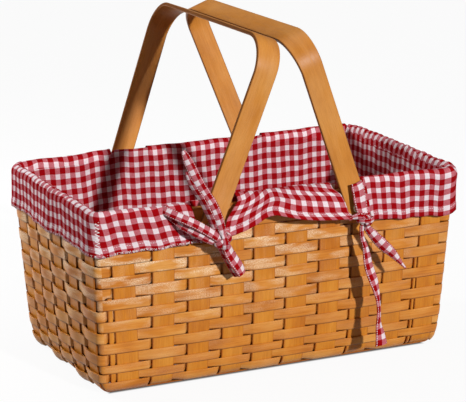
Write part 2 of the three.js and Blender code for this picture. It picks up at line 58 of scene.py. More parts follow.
NORMALS = ((0, -1), (1, 0), (0, 1), (-1, 0))

# Wobble, threads and stitches of the cloth's shader, in metres
WOBBLE = 0.0024
THREAD_PITCH = 0.00055
STITCH_PITCH = 0.0026
STITCH_HALF_WIDTH = 0.00032
OVERLOCK = 0.0024
RIBBON_SEAMS = (0.0009, 0.0111)

# Photograph's camera in pixels, and the floor's margin under the foot
PHOTO_WIDTH = 466
FOCAL_PIXELS = 2050.11
FLOOR_MARGIN = 9

# The wall's middle surface, which every strip follows
FOOT_HALF_LENGTH = 186.9
FOOT_HALF_DEPTH = 100.5
FLARE_LENGTH = 0.0463
FLARE_DEPTH = 0.0957
CORNER_RADIUS = 4.5
RIM_CORNER = 14.0
SHARP_CORNER = 6.0
FOOT_BEND = 9.0
FLOOR_Z = 2.1
TUCK_HEIGHT = 36.0
TUCK = 3.4
END_SWELL = 3.0
LONG_SWELL = 4.5
SWELL_POWER = 0.8
LEFT_OUT = 5.5
LEFT_SKEW = 1.5
RIGHT_OUT = 4.5

# Middles of the long walls' uprights at two heights, and the spread of the end walls' uprights
LOW_Z = 20
HIGH_Z = 150
LONG_LOW = (-162.7, -125.6, -87.7, -49.7, -15.6, 20.3, 57.3, 94.8, 132.3, 172.8)
LONG_HIGH = (-170.4, -127.5, -89.3, -52.6, -18.1, 18.2, 55.9, 93.4, 132.4, 174.9)
END_UPRIGHTS = 6
END_MARGIN = 16.8
END_SHIFT = 9.5
END_FAN = 0.813

# Strips
STRIP_THICKNESS = 1.2
GRAIN_STEP = 51.0
GRAIN_SHIFT = 370.0
WEAVE_OFFSET = 1.4
WEAVE_GAP = 0.3
FLOOR_GAP = 0.4
FLOOR_INSET = 4
FLOOR_EASE = 8
DIVE = 3.4
DIVE_DEPTH = 3.1
DIVE_LENGTH = 9.0
END_ARCH = 1.9
LONG_ARCH = 0.3
UPRIGHT_WIDTH = 23.6
RIM_BOTTOM = 162.65
RIM_TOP = 188.15
UPRIGHT_TOP = 186.65
CORNER_STRIPS = {"left": (0, 5.0), "right": (9, 3.0)}
CORNER_STRIP_GAP = 1.6
CORNER_STRIP_TOP = 103.6
LOW_ROWS = 3
LOW_ROW_HEIGHT = 9.3
ROW_HEIGHT = 11.45
ROW_GAP = 0.25
FIRST_ROW_BOTTOM = 4.2
ROWS = 14

# Handles and their rivets
PIVOT_X = 81.2
PIVOT_Z = 170.15
LEG_MIDDLE_Y = 128.0
HANDLE_REACH = 191.4
HANDLE_BEND = 33.0
HANDLE_SPLAY = 10.5
HANDLE_WIDTH = 24.0
TOP_WIDENING = 3.0
HANDLE_THICKNESS = 4.0
HANDLE_EDGE = 1.1
HANDLE_LEAN = math.radians(20.45)
FOOT_LENGTH = 12.0
SHANK_RADIUS = 2.4
CLINCH_RADIUS = 4.4
COLLAR_RADIUS = 5.2
DOME_RADIUS = 5.5
LEG_HOLE_DEPTH = 4.6
SWELL_SPAN = 190.0

# Cloth
CHECK = 6.0
CLOTH_THICKNESS = 0.9
WRAP_THICKNESS = 1.6
STRAP_THICKNESS = 1.4
CLOTH_CORNER = 19.0
RIM_HALF_LENGTH = 196.0
CUFF_DEPTH = 41.5
CROWN_Z = 193.4
CROWN_HALF = 5.0
CROWN_LIFT = 0.2
CUFF_STRAIGHT = 36
HEM_OUT = 0.4
CUFF_MIDDLE = -0.5
CUFF_INSIDE = 3
CUFF_LIMIT = 8.2
HEM = 8.0
PANEL_WIDTH = 126.0
RIBBON_CLOTH = 12.0
BAG_OUT = -5.7
BAG_TOP = RIM_TOP - 1.2
BAG_LAP = 1.8
BAG_BEND_Z = 16.0
BAG_FLOOR_Z = 5.5
FRONT_RISE = 6.4
RISE_FROM = 150
THREAD_RADIUS = 0.55
THREAD_LIFT = 0.9
CROWN = ((0.0, 194.3), (0.247, 192.6), (0.37, 196.8), (0.5, 197.0), (0.637, 196.2), (0.732, 198.0),
         (1.0, 197.4), (1.25, 198.6), (1.75, 199.2), (2.0, 198.4), (2.105, 197.6), (2.398, 196.6),
         (2.587, 196.6), (2.708, 198.6), (2.777, 197.6), (2.885, 195.2), (3.0, 195.6), (3.5, 194.6),
         (4.0, 194.3))
HEM_DROP = ((0.0, 0.4), (0.7, 0.0), (1.0, 3.2), (1.5, 2.4), (2.0, 1.5), (2.3, 0.0), (4.0, 0.4))

# Edges of the end cuffs at the front and back slits: place along X at the crown and at the hem, and the power
# of the fall between them
SLITS = {"left": ((98.6, 88.0, 1.2), (92.0, 89.0, 1.0)), "right": ((87.5, 100.5, 0.6), (89.0, 100.0, 1.0))}

# Stretches along X where the bag's edge stands up between the cuffs
OPEN_EDGE = {"front": ((-98.6, -50.8), (54.0, 91.0)), "back": ((-92.0, -49.0), (56.0, 89.0))}

# Centre cuffs: side edges by share of the fall, hem as (x, z, distance from the middle), outward lean of the
# crown, and the knots that folds spread from as (x, z, size, count, spread)
PANELS = {
    "front": {
        "left": ((0, 0.2, 0.5, 0.8, 1), (-50.8, -57.0, -66.5, -71.0, -73.0)),
        "right": ((0, 0.2, 0.45, 0.75, 1), (54.0, 62.0, 65.0, 66.5, 75.0)),
        "hem": ((-73, 158.8, 139.5), (-64.7, 160.4, 140), (-50.6, 163.6, 141), (-36.3, 169.5, 141.5),
                (-25.3, 175.5, 142), (-15.8, 176.1, 142), (-0.5, 171.6, 142), (14.9, 167.6, 142),
                (34.2, 164.4, 141.5), (52.3, 162.9, 140.5), (65.2, 161.8, 139.5), (75, 160, 139)),
        "lean": 3.4,
        "knots": ((-72, 158, 1.5, 15, 48), (82, 160, 1.1, 13, 36)),
    },
    "back": {
        "left": ((0, 1), (-49.0, -60.0)),
        "right": ((0, 1), (56.0, 80.0)),
        "hem": ((-62, 151.9, 121.5), (-50, 155, 123), (-41, 158, 124.5), (-25, 163, 126), (-8, 168, 127),
                (20, 163, 127), (40, 160, 126), (59, 156.5, 124), (80, 151.9, 121)),
        "lean": 0.0,
        "knots": ((-72, 151, 1.2, 13, 40), (88, 151, 1.2, 13, 40)),
    },
}

# Knots as (centre, half sizes, lean in degrees), and ribbons as rows of (x, y, z, width, thickness, twist)
TIES = {
    "front_left": {
        "knot": ((-74, -140.5, 157.0), (9.6, 6.8, 8.4), 35),
        "ribbons": {
            "up": ((-73.9, -140.5, 160.1, 6, 4, 0), (-77.5, -145.5, 172.5, 9, 3, 8),
                (-83.5, -147.4, 187.1, 10.5, 2.4, 15), (-88.8, -147.6, 198.2, 10.5, 2.2, 18),
                (-95.9, -147.6, 209.7, 10.5, 2.2, 18), (-102.9, -147.6, 222.0, 10.5, 2, 15),
                (-109.9, -147.6, 237.2, 10, 2, 12), (-115.1, -147.6, 248.3, 7.5, 1.8, 6),
                (-117.6, -147.6, 253.4, 3.5, 1.4, 0)),
            "up_under": ((-75, -138, 159, 6, 3, 35), (-83.2, -141.5, 171, 10, 2, 55),
                (-89.6, -143.3, 185.6, 11, 1.8, 62), (-95, -143.6, 196.7, 11, 1.8, 64),
                (-102, -143.8, 208.3, 10, 1.8, 60), (-108.4, -144, 220, 8, 1.6, 50),
                (-113.5, -144.5, 231, 3, 1.4, 30)),
            "low": ((-73, -140, 155.5, 8, 4, 0), (-66.5, -138, 145.5, 12, 3, 20),
                (-60, -137, 135.2, 14.5, 2.4, 28), (-54.4, -136.5, 126.3, 14.5, 2.4, 30),
                (-50.7, -136, 118.5, 11, 2.2, 25)),
            "low_under": ((-75, -138, 153.5, 7, 3, 0), (-70.6, -135, 143.2, 11, 2, -45),
                (-65.6, -133.5, 133.4, 13.5, 1.8, -58), (-60.2, -133, 124.2, 13.5, 1.8, -60),
                (-55.6, -133, 115.8, 10.5, 1.6, -55)),
            "sewn": ((-130, -121.5, 191, 9, 1.8, 0), (-125.5, -128, 188.6, 9, 2, 10),
                (-118.3, -135, 185.4, 9.5, 2.2, 20), (-109.7, -140, 181, 10, 2.4, 25),
                (-98.7, -142.5, 174.5, 10, 2.8, 25), (-88.2, -143, 167.6, 10, 3.2, 20),
                (-79.6, -142, 160.6, 9, 3.6, 10), (-75, -141, 157, 7, 4, 0)),
            "sewn_under": ((-125, -121.5, 185, 7, 1.8, 0), (-119.5, -128, 180.7, 8, 2, -8),
                (-114.1, -134, 175.1, 8.5, 2.2, -14), (-106.3, -138, 169.8, 9, 2.2, -16),
                (-96.4, -140, 163.9, 9, 2.4, -14), (-85.6, -140, 157.6, 8, 2.6, -8),
                (-76, -139.5, 154.5, 6, 3, 0)),
        },
    },
    "front_right": {
        "knot": ((84.8, -139.5, 159), (8.0, 6.0, 7.0), 120),
        "ribbons": {
            "long": ((83, -139.5, 158, 5, 4, 0), (81.6, -138.5, 152, 5, 3.4, 4),
                (82.3, -138, 141.7, 5, 3, 8), (85.5, -139, 130, 7, 2.6, 10),
                (87.3, -139.5, 120.3, 10, 2.4, 14), (89.6, -140, 110.5, 12, 2.2, 18),
                (92.9, -140.5, 99.6, 13, 2.2, 22), (96.2, -141, 89.6, 13, 2.2, 28),
                (99.6, -141.5, 75.9, 10, 2.6, 40), (99.8, -142, 63.1, 8, 3, 48),
                (99.7, -143, 50.2, 9.5, 2.6, 40), (101.5, -143.5, 37.2, 13, 2.4, 22),
                (102.6, -144, 24, 15.5, 2.2, 10)),
            "short": ((85.5, -140, 157, 6, 4, 0), (87.4, -139, 150.4, 7.5, 3.6, -6),
                (95.3, -141, 139.9, 10.5, 3, -14), (104.7, -143, 129.6, 12, 2.6, -18),
                (114.3, -145, 120.3, 9, 2.4, -14), (122.4, -146, 110.6, 4.5, 2, -8),
                (128, -146.5, 103.9, 2, 1.6, 0)),
            "ear": ((85, -140.5, 160, 7, 4, 0), (78, -142, 163.5, 8, 3, 15), (71, -141.5, 163, 6, 2, 20),
                (66, -140.5, 161, 3, 1.6, 10)),
        },
    },
    "back_left": {
        "knot": ((-69, 128, 148), (8.5, 7, 7.5), 60),
        "ribbons": {
            "long": ((-69, 129, 147, 7, 4, 0), (-68, 128, 130, 11, 3, 10), (-65, 125, 107, 13, 2.2, 24),
                (-64, 123, 84, 12, 2, 12)),
            "short": ((-69, 129, 147, 7, 4, 0), (-70, 128, 133, 12, 3, -12), (-78, 125, 116, 14, 2.2, -18),
                (-83, 122, 96, 6, 1.8, -10)),
            "sewn": ((-102, 123.5, 187, 10, 1.6, 0), (-100.5, 124.2, 172, 10, 1.6, 0),
                (-94.5, 124.2, 158, 10, 1.6, 0), (-83, 124.8, 149.5, 9, 2.4, 4), (-71, 128, 147, 7, 4, 0)),
        },
    },
    "back_right": {
        "knot": ((88, 127, 151), (8.5, 7, 7.5), 100),
        "ribbons": {
            "long": ((88, 128, 150, 7, 4, 0), (85, 127, 132, 11, 3, -10), (80, 124, 108, 13, 2.2, -24),
                (77, 122, 80, 12, 2, -12)),
            "short": ((88, 128, 150, 7, 4, 0), (100, 127, 136, 12, 3, 12), (108, 124, 114, 14, 2.2, 18),
                (113, 122, 90, 6, 1.8, 10)),
            "sewn": ((102, 125.5, 187, 11, 1.8, 0), (101, 127.5, 172, 12, 2, -4),
                (98, 127.5, 160, 11, 2.2, -6), (89, 128, 151, 7, 4, 0)),
        },
    },
}

# Edges of the wide strap at the front right
STRAP_FREE_EDGE = ((69.6, -138, 196.5), (72.0, -138, 183.8), (73.8, -138.5, 174.2), (76.4, -139.5, 166.2),
                   (80.5, -140.5, 160.0))
STRAP_SEWN_EDGE = ((89.5, -123.5, 199.2), (93.4, -124.2, 191.7), (94.8, -125.5, 183.1), (95.0, -128.5, 174.1),
                   (93.6, -134, 165.0), (89.5, -138.5, 158.8))
STRAP_CLOTH = 15.5
STRAP_WIDTH = 22.0


def joined(*parts):
    """Arrays spread to one shape and put together along a new last axis."""
    return np.stack(np.broadcast_arrays(*parts), -1)


def smooth(t):
    return t * t * (3 - 2 * t)


def waves(x, *terms):
    """Sum of sines, each given as (height, length of one radian, start)."""
    return sum(height * np.sin(x / length + start) for height, length, start in terms)


def unit(vectors):
    return vectors / np.linalg.norm(vectors, axis=-1, keepdims=True)


def half_length(z):
    return FOOT_HALF_LENGTH + FLARE_LENGTH * z - tuck(z)


def half_depth(z):
    return FOOT_HALF_DEPTH + FLARE_DEPTH * z - tuck(z)


def run_x(kx, ky, z, radius=CORNER_RADIUS):
    """Half length between the corners' centres on kx's side.

    The end walls stand further out than the foot, the left one most at the back.
    """
    left_out = LEFT_OUT + LEFT_SKEW * np.asarray(ky)
    return half_length(z) - radius + np.where(np.asarray(kx) < 0, left_out, RIGHT_OUT)


def foot(z):
    """Inset and tilt of the wall where it turns under: a quarter circle of FOOT_BEND, upright above it."""
    cosine = np.clip(1 - (np.asarray(z, float) - FLOOR_Z) / FOOT_BEND, 0, 1)
    sine = np.sqrt(1 - cosine**2)
    return FOOT_BEND * (1 - sine), sine, cosine


def tuck(z):
    """How far the wall draws in near the foot: a parabola that ends at TUCK_HEIGHT."""
    return TUCK * np.clip(1 - np.asarray(z, float) / TUCK_HEIGHT, 0, 1) ** 2


def swell(kx, ky, z):
    """Bulge of a wall: a power of a half sine up it, times a parabola along it, none at the corners."""
    height = np.sin(np.pi * np.clip(np.asarray(z, float) / RIM_TOP, 0, 1)) ** SWELL_POWER
    on_end = np.abs(kx) >= 1
    along = np.where(on_end, 1 - np.abs(ky) ** 2, 1 - np.abs(kx) ** 2)
    return height * along * np.where(on_end, END_SWELL, LONG_SWELL)


def wall(kx, ky, nx, ny, z, out, radius=CORNER_RADIUS, swollen=1.0):
    """Point `out` outside the middle surface.

    (kx, ky) runs along the rectangle of the corners' centres and (nx, ny) is the wall's direction, so the
    point is that rectangle's point plus the direction times the corner radius, the swell and `out`; the foot
    bend turns `out` downwards.
    """
    inset, level, drop = foot(z)
    reach = radius + swollen * swell(kx, ky, z) - inset + out * level
    x = kx * run_x(kx, ky, z, radius) + nx * reach
    return joined(x, ky * (half_depth(z) - radius) + ny * reach, z - out * drop)


def outline(wall_steps, corner_steps):
    """Samples once round the basket from the front left corner: arrays kx, ky, nx, ny."""
    turn = np.linspace(0, QUARTER, corner_steps)[1:-1]
    parts = []
    for side, (nx, ny) in enumerate(NORMALS):
        way = np.linspace(-1, 1, wall_steps[side % 2])
        parts.append(joined(nx - ny * way, ny + nx * way, nx, ny))
        angle = (side - 1) * QUARTER + turn
        parts.append(joined(nx - ny, ny + nx, np.cos(angle), np.sin(angle)))
    return np.concatenate(parts).T


def long_centre(i, z):
    """Place along X of upright i of the long walls, on a straight line from its foot to the rim."""
    return LONG_LOW[i] + (LONG_HIGH[i] - LONG_LOW[i]) * (z - LOW_Z) / (HIGH_Z - LOW_Z)


def short_centre(j, z):
    """Place along Y of upright j of the end walls: even steps, moved back in the middle, fanning upwards."""
    share = j / (END_UPRIGHTS - 1)
    half = FOOT_HALF_DEPTH + FLARE_DEPTH * RIM_TOP - END_MARGIN
    at_rim = -half + 2 * half * share + END_SHIFT * math.sin(math.pi * share)
    return at_rim * (END_FAN + (1 - END_FAN) * z / RIM_TOP)


def travel(points):
    """Length along each line of points, from 0 at its start; the points' shape is (..., n, 3) or (n, 2)."""
    step = np.linalg.norm(np.diff(points, axis=-2), axis=-1)
    start = np.zeros(step.shape[:-1] + (1,))
    return np.concatenate([start, np.cumsum(step, -1)], -1)


def through(rows, count):
    """Catmull-Rom curve through the rows' first three values, even along it; the other values ride along."""
    data = np.array(rows, float)
    padded = np.concatenate([[2 * data[0] - data[1]], data, [2 * data[-1] - data[-2]]])
    t = np.linspace(0, 1, 24, endpoint=False)[:, None]
    pieces = []
    for a, b, c, d in zip(padded, padded[1:], padded[2:], padded[3:]):
        pieces.append(0.5 * (2 * b + (c - a) * t + (2 * a - 5 * b + 4 * c - d) * t**2
                             + (3 * b - a - 3 * c + d) * t**3))
    dense = np.concatenate(pieces + [data[-1:]])
    way = travel(dense[:, :3])
    even = np.linspace(0, way[-1], count)
    return np.stack([np.interp(even, way, values) for values in dense.T], 1)


def add_object(name, data):
    made = bpy.data.objects.new(name, data)
    bpy.context.scene.collection.objects.link(made)
    return made


def surface(name, points, uv, loops=(False, False), caps=False, flip=False, sharp=40):
    """Mesh over a grid of points, with arrays u and v for the grid's corners, all in millimetres.

    A looped way joins its last row to its first; its u and v have one row more. Caps close the two ends of a
    tube. A closed shape is turned so that its signed volume is positive.
    """
    uv = joined(*uv) * MM
    rows, columns = points.shape[:2]
    i, j = np.meshgrid(np.arange(rows if loops[0] else rows - 1),
                       np.arange(columns if loops[1] else columns - 1), indexing="ij")
    low, high = i * columns, (i + 1) % rows * columns
    beside = (j + 1) % columns
    faces = np.stack([low + j, high + j, high + beside, low + beside], -1).reshape(-1, 4)
    corner_uv = np.stack([uv[i, j], uv[i + 1, j], uv[i + 1, j + 1], uv[i, j + 1]], -2).reshape(-1, 4, 2)
    flat = points.reshape(-1, 3)
    if caps or all(loops):
        a, b, c, d = (flat[faces[:, k]] for k in range(4))
        flip = (np.einsum("ij,ij->i", a, np.cross(b, c)) + np.einsum("ij,ij->i", a, np.cross(c, d))).sum() < 0
    if flip:
        faces, corner_uv = faces[:, ::-1], corner_uv[:, ::-1]
    polygons = faces.tolist()
    face_uv = corner_uv.reshape(-1, 2).tolist()
    if caps:
        first = list(range(columns))
        last = [(rows - 1) * columns + k for k in range(columns)]
        for ring, row in ((first[::-1] if flip else first, 0), (last if flip else last[::-1], rows - 1)):
            polygons.append(ring)
            face_uv += [uv[row, k % columns].tolist() for k in ring]
    mesh = bpy.data.meshes.new(name)
    mesh.from_pydata((flat * MM).tolist(), [], polygons)
    mesh.uv_layers.new(name="UVMap").data.foreach_set("uv", np.array(face_uv, np.float32).ravel())
    mesh.shade_smooth()
    mesh.set_sharp_from_angle(angle=math.radians(sharp))
    mesh.update()
    return add_object(name, mesh)


def finish_piece(piece, material, slot, body, *nodes):
    piece.data.materials.append(material)
    if nodes:
        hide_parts(*nodes)
    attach(piece, body)


def thicken(piece, thickness, offset):
    """Gives a grid a thickness: inwards for offset -1, to both sides for offset 0."""
    solidify = piece.modifiers.new("thickness", "SOLIDIFY")
    solidify.thickness = thickness * MM
    solidify.offset = offset


def strip_section(width, thickness, crown=0.12, edge=0.35):
    """Outline of a thin strip: flat faces with a low crown and rounded edges, as (across, out) pairs."""
    half, rise = width / 2, thickness / 2
    side, low_crown = rise - edge, rise + 0.75 * crown
    across = [-half, -half + edge, -half / 2, 0, half / 2, half - edge, half, half, 0, -half]
    return joined(across, [side, rise, low_crown, rise + crown, low_crown, rise, side, -rise, -rise, -rise])


def strip_uv(along, section, grain):
    """U is the length along the strip and V the length round its section.

    `grain` shifts both, so that no two strips show the same wood.
    """
    around = travel(np.concatenate([section, section[:1]]))
    return along[:, None] + GRAIN_SHIFT * grain, around + GRAIN_STEP * grain


def carry(path, across, section):
    """Section's points along a path: width along `across`, thickness along path direction x across."""
    normal = unit(np.cross(np.gradient(path, axis=0), across))
    return path[:, None] + section[..., :1] * across + section[..., 1:] * normal[:, None]


def sweep(name, path, across, section, grain):
    points = carry(path, across, section)
    return surface(name, points, strip_uv(travel(path), section, grain), (False, True), True)


def hoop(name, lines, section, grain):
    """Closed strip round the basket from one line of points for each point of its section."""
    points = np.stack(lines, 1)
    loop = np.concatenate([points[:, 3], points[:1, 3]])
    return surface(name, points, strip_uv(travel(loop), section, grain), (True, True))


def ring_walls(z, corner):
    """Where each wall starts as a length round the basket, the walls' lengths, and the whole way round."""
    deep = 2 * (half_depth(z) - CORNER_RADIUS)
    front, back = (float(run_x(-1, ky, z) + run_x(1, ky, z)) for ky in (-1, 1))
    begins = np.cumsum([0, front + corner, deep + corner, back + corner])
    return begins, (front, deep, back, deep), front + back + 2 * deep + 4 * corner


def ring_way(kx, ky, nx, ny, z, corner=CORNER_RADIUS * QUARTER):
    """Length round the basket of each sample at height z, with corners of the given length."""
    begins, lengths, _ = ring_walls(z, corner)
    angle = np.arctan2(ny, nx)
    way = np.zeros(np.broadcast(kx, nx).shape)
    front, back = ([float(run_x(sign, facing, z)) for sign in (-1, 1)] for facing in (-1, 1))
    deep = lengths[1] / 2
    on_front = front[0] + kx * np.where(kx < 0, *front)
    on_back = back[1] - kx * np.where(kx < 0, *back)
    for side, along in enumerate((on_front, deep + ky * deep, on_back, deep - ky * deep)):
        on = (np.abs(nx - NORMALS[side][0]) < 1e-6) & (np.abs(ny - NORMALS[side][1]) < 1e-6)
        way[on] = begins[side] + along[on]
        turn = (angle - (side - 1) * QUARTER) % (2 * math.pi)
        bend = (turn > 1e-4) & (turn < QUARTER - 1e-4)
        way[bend] = begins[side] + lengths[side] + turn[bend] / QUARTER * corner
    return way


def ring_turn(kx, ky, nx, ny):
    """Place round the basket: 0 at the front left corner, 1 at the front right one, and so on to 4."""
    choices = [(kx + 1) / 2, 1.5 + ky / 2, 2.5 - kx / 2]
    return np.select([ny < -0.71, nx > 0.71, ny > 0.71], choices, 3.5 - ky / 2)


def rounded(turn):
    """Corner radius at the top: RIM_CORNER, and a sharper corner at the front left."""
    return np.interp(turn, [0, 0.35, 3.65, 4], [SHARP_CORNER, RIM_CORNER, RIM_CORNER, SHARP_CORNER])


def crown_height(turn):
    """Height of the cloth's crown round the basket, with a slight unevenness."""
    return np.interp(turn, *np.array(CROWN).T) + waves(turn, (0.3, 1 / 37, 0), (0.2, 1 / 81, 1))


def row_levels():
    """Bottom and top of each weaver."""
    heights = np.where(np.arange(ROWS) < LOW_ROWS, LOW_ROW_HEIGHT, ROW_HEIGHT)
    bottom = FIRST_ROW_BOTTOM + np.concatenate([[0], np.cumsum(heights + ROW_GAP)[:-1]])
    return np.stack([bottom, bottom + heights], 1)


def crossings(z):
    """Where the uprights cross a weaver, as starts and ends along the way round, and the whole way."""
    begins, (_, deep, _, _), total = ring_walls(z, CORNER_RADIUS * QUARTER)
    half = UPRIGHT_WIDTH / 2 + WEAVE_GAP
    fillers = dict(CORNER_STRIPS.values()) if z < CORNER_STRIP_TOP else {}
    spans = []
    for i in range(len(LONG_LOW)):
        beside = CORNER_STRIP_GAP + fillers[i] if i in fillers else 0
        ahead = begins[0] + float(run_x(-1, -1, z)) + long_centre(i, z)
        behind = begins[2] + float(run_x(1, 1, z)) - long_centre(i, z)
        spans += [(ahead - half - beside, ahead + half), (behind - half, behind + half + beside)]
    for j in range(END_UPRIGHTS):
        for middle in (begins[1] + deep / 2 + short_centre(j, z), begins[3] + deep / 2 - short_centre(j, z)):
            spans.append((middle - half, middle + half))
    return np.array(sorted(spans)), total


def weave_out(way, z, row):
    """Offset of a weaver, outside and inside of the uprights by turns, and the arch of its outside stretches.

    It comes out along a straight rise across a gap. It goes in by staying out to within DIVE of the next
    upright, turning in steeply to DIVE_DEPTH, and easing back to its usual place behind the upright. The arch
    is a squared cosine over one pitch.
    """
    spans, total = crossings(z)
    sign = np.where((np.arange(len(spans)) + row) % 2 == 0, 1.0, -1.0)
    places, levels = [], []
    for (start, end), side, following in zip(spans, sign, np.roll(spans[:, 0], -1)):
        if side > 0:
            places += [start, end + (following - end) % total - DIVE]
            levels += [WEAVE_OFFSET, WEAVE_OFFSET]
        else:
            places += [start, start + DIVE_LENGTH, end]
            levels += [-DIVE_DEPTH, -WEAVE_OFFSET, -WEAVE_OFFSET]
    out = np.interp(way, places, levels, period=total)
    middle = spans.mean(1)
    middle = np.concatenate([middle - total, middle, middle + total])
    pitch = np.gradient(middle)
    near = np.abs(way[:, None] - middle[None]).argmin(1)
    phase = np.clip((way - middle[near]) / pitch[near], -0.5, 0.5)
    return out, np.cos(math.pi * phase) ** 2 * np.tile(sign, 3)[near]


def build_weavers(material):
    """Hoops: each line of the section goes round the wall at its own height, at its own weave offset.

    The rows wander up and down together by slow sines, most on the end walls, whose strips arch outwards.
    """
    samples = outline((340, 215), 9)
    on_end = np.abs(samples[2]) > np.abs(samples[3])
    arch = np.where(on_end, END_ARCH, LONG_ARCH)
    loose = np.where(on_end, 1.0, 0.3)
    for row, (bottom, top) in enumerate(row_levels()):
        section = strip_section(top - bottom, STRIP_THICKNESS)
        lines = []
        for across, thick in section:
            z = (bottom + top) / 2 + across
            way = ring_way(*samples, z)
            out, hump = weave_out(way, z, row)
            wander = waves(way, (0.35, 31, z / 23), (0.25, 12.3, z / 17 + 1))
            fade = np.clip((z - 10) / 20, 0, 1) * np.clip((RIM_BOTTOM - 2 - z) / 10, 0, 1)
            bulge = out + arch * np.clip(hump, 0, 1)
            lines.append(wall(*samples, z + wander * fade * loose, bulge + thick))
        piece = hoop(f"woven_row_{row + 1:02d}", lines, section, row + 1)
        finish_piece(piece, material, "chipwood", "basket", f"weaver_{row + 1:02d}")


def wall_heights(top):
    """Heights down a wall: even to the foot bend, then even in angle round it."""
    bend = FLOOR_Z + FOOT_BEND * (1 - np.cos(np.linspace(QUARTER, 0, 9)))
    return np.concatenate([np.linspace(top, FLOOR_Z + FOOT_BEND, 36)[:-1], bend])


def floor_wave(way, centres, phase):
    """Under and over the crossing strips by turns: level across each one, eased between them."""
    half = UPRIGHT_WIDTH / 2 + FLOOR_GAP
    knots = np.concatenate([[c - half, c + half] for c in centres])
    side = np.repeat([-1.0 if (phase + j) % 2 == 0 else 1.0 for j in range(len(centres))], 2)
    k = np.clip(np.searchsorted(knots, way) - 1, 0, len(knots) - 2)
    share = np.clip((way - knots[k]) / (knots[k + 1] - knots[k]), 0, 1)
    return WEAVE_OFFSET * (side[k] + (side[k + 1] - side[k]) * smooth(share))


def long_path(centre_at, phase, top):
    """Down the front wall, under the floor and up the back wall."""
    z = wall_heights(top)
    x = centre_at(z)
    down, up = (wall(x / run_x(x, ky, z), ky, 0, ky, z, 0 * z) for ky in (-1, 1))
    end = up[-1, 1] - FLOOR_INSET
    across = np.linspace(-end, end, 110)
    level = floor_wave(across, [short_centre(j, 0.0) for j in range(END_UPRIGHTS)], phase)
    ease = smooth(np.clip((end - np.abs(across)) / FLOOR_EASE, 0, 1))
    return np.concatenate([down, joined(centre_at(0.0), across, FLOOR_Z + level * ease), up[::-1]])


def short_path(j):
    """Down the left wall, straight across the floor and up the right wall."""
    z = wall_heights(UPRIGHT_TOP)
    ky = short_centre(j, z) / (half_depth(z) - CORNER_RADIUS)
    down, up = (wall(kx, ky, kx, 0, z, 0 * z) for kx in (-1, 1))
    across = np.linspace(down[-1, 0] + FLOOR_INSET, up[-1, 0] - FLOOR_INSET, 40)
    return np.concatenate([down, joined(across, short_centre(j, 0.0), FLOOR_Z), up[::-1]])


def build_uprights(material):
    """Strips down one wall, under the floor and up the other, and narrow ones near the long walls' ends."""
    section = strip_section(UPRIGHT_WIDTH, STRIP_THICKNESS)
    strips = []
    for i in range(len(LONG_LOW)):
        path = long_path(lambda z: long_centre(i, z), i, UPRIGHT_TOP)
        strips.append((f"upright_{i + 1:02d}", path, ALONG_X, section, 20 + i, f"upright_long_{i + 1:02d}"))
    for j in range(END_UPRIGHTS):
        strips.append((f"end_upright_{j + 1:02d}", short_path(j), np.array([0, -1.0, 0]), section, 40 + j,
                       f"upright_short_{j + 1:02d}"))
    for side, (i, width) in CORNER_STRIPS.items():
        beside = UPRIGHT_WIDTH / 2 + CORNER_STRIP_GAP + width / 2
        path = long_path(lambda z: long_centre(i, z) - beside, i, CORNER_STRIP_TOP)
        strips.append((f"corner_filler_{side}", path, ALONG_X, strip_section(width, STRIP_THICKNESS), 50 + i,
                       f"corner_strip_{side}"))
    for *strip, solid in strips:
        finish_piece(sweep(*strip), material, "chipwood", "basket", solid)


def build_rim(material):
    """Two flat hoops round the top, one inside and one outside of the uprights."""
    samples = outline((150, 84), 7)
    radius = rounded(ring_turn(*samples))
    for place, middle, thickness, grain in (("outer", 2.0, 2.2, 60), ("inner", -1.8, 1.8, 61)):
        section = strip_section(RIM_TOP - RIM_BOTTOM, thickness, 0.1, 0.6)
        lines = [wall(*samples, (RIM_TOP + RIM_BOTTOM) / 2 + across, middle + thick, radius)
                 for across, thick in section]
        piece = hoop(f"rim_{place}", lines, section, grain)
        finish_piece(piece, material, "chipwood", "basket", f"rim_band_{place}")


def handle_path():
    """Half of a handle in its own plane: y, z and width.

    It goes from the rounded foot up the leg, which leans outwards, round the bend and along the wider top.
    """
    leg_top = HANDLE_REACH - HANDLE_BEND
    share = np.sin(np.linspace(math.radians(85), 0, 9))
    foot_z = -FOOT_LENGTH + HANDLE_WIDTH / 2 * (1 - share)
    straight_z = np.concatenate([foot_z, np.linspace(foot_z[-1], leg_top, 26)[1:]])
    turn = np.linspace(0, QUARTER, 16)[1:]
    bend_y = LEG_MIDDLE_Y + HANDLE_SPLAY - HANDLE_BEND * (1 - np.cos(turn))
    cross_y = np.linspace(bend_y[-1], 0, 12)[1:]
    y = np.concatenate([LEG_MIDDLE_Y + HANDLE_SPLAY * straight_z / leg_top, bend_y, cross_y])
    z = np.concatenate([straight_z, leg_top + HANDLE_BEND * np.sin(turn),
                        np.full(len(cross_y), HANDLE_REACH)])
    width = np.concatenate([HANDLE_WIDTH * np.sqrt(1 - share**2),
                            np.full(len(straight_z) - len(foot_z), HANDLE_WIDTH),
                            HANDLE_WIDTH + TOP_WIDENING * np.sin(turn),
                            np.full(len(cross_y), HANDLE_WIDTH + TOP_WIDENING)])
    return y, z, width


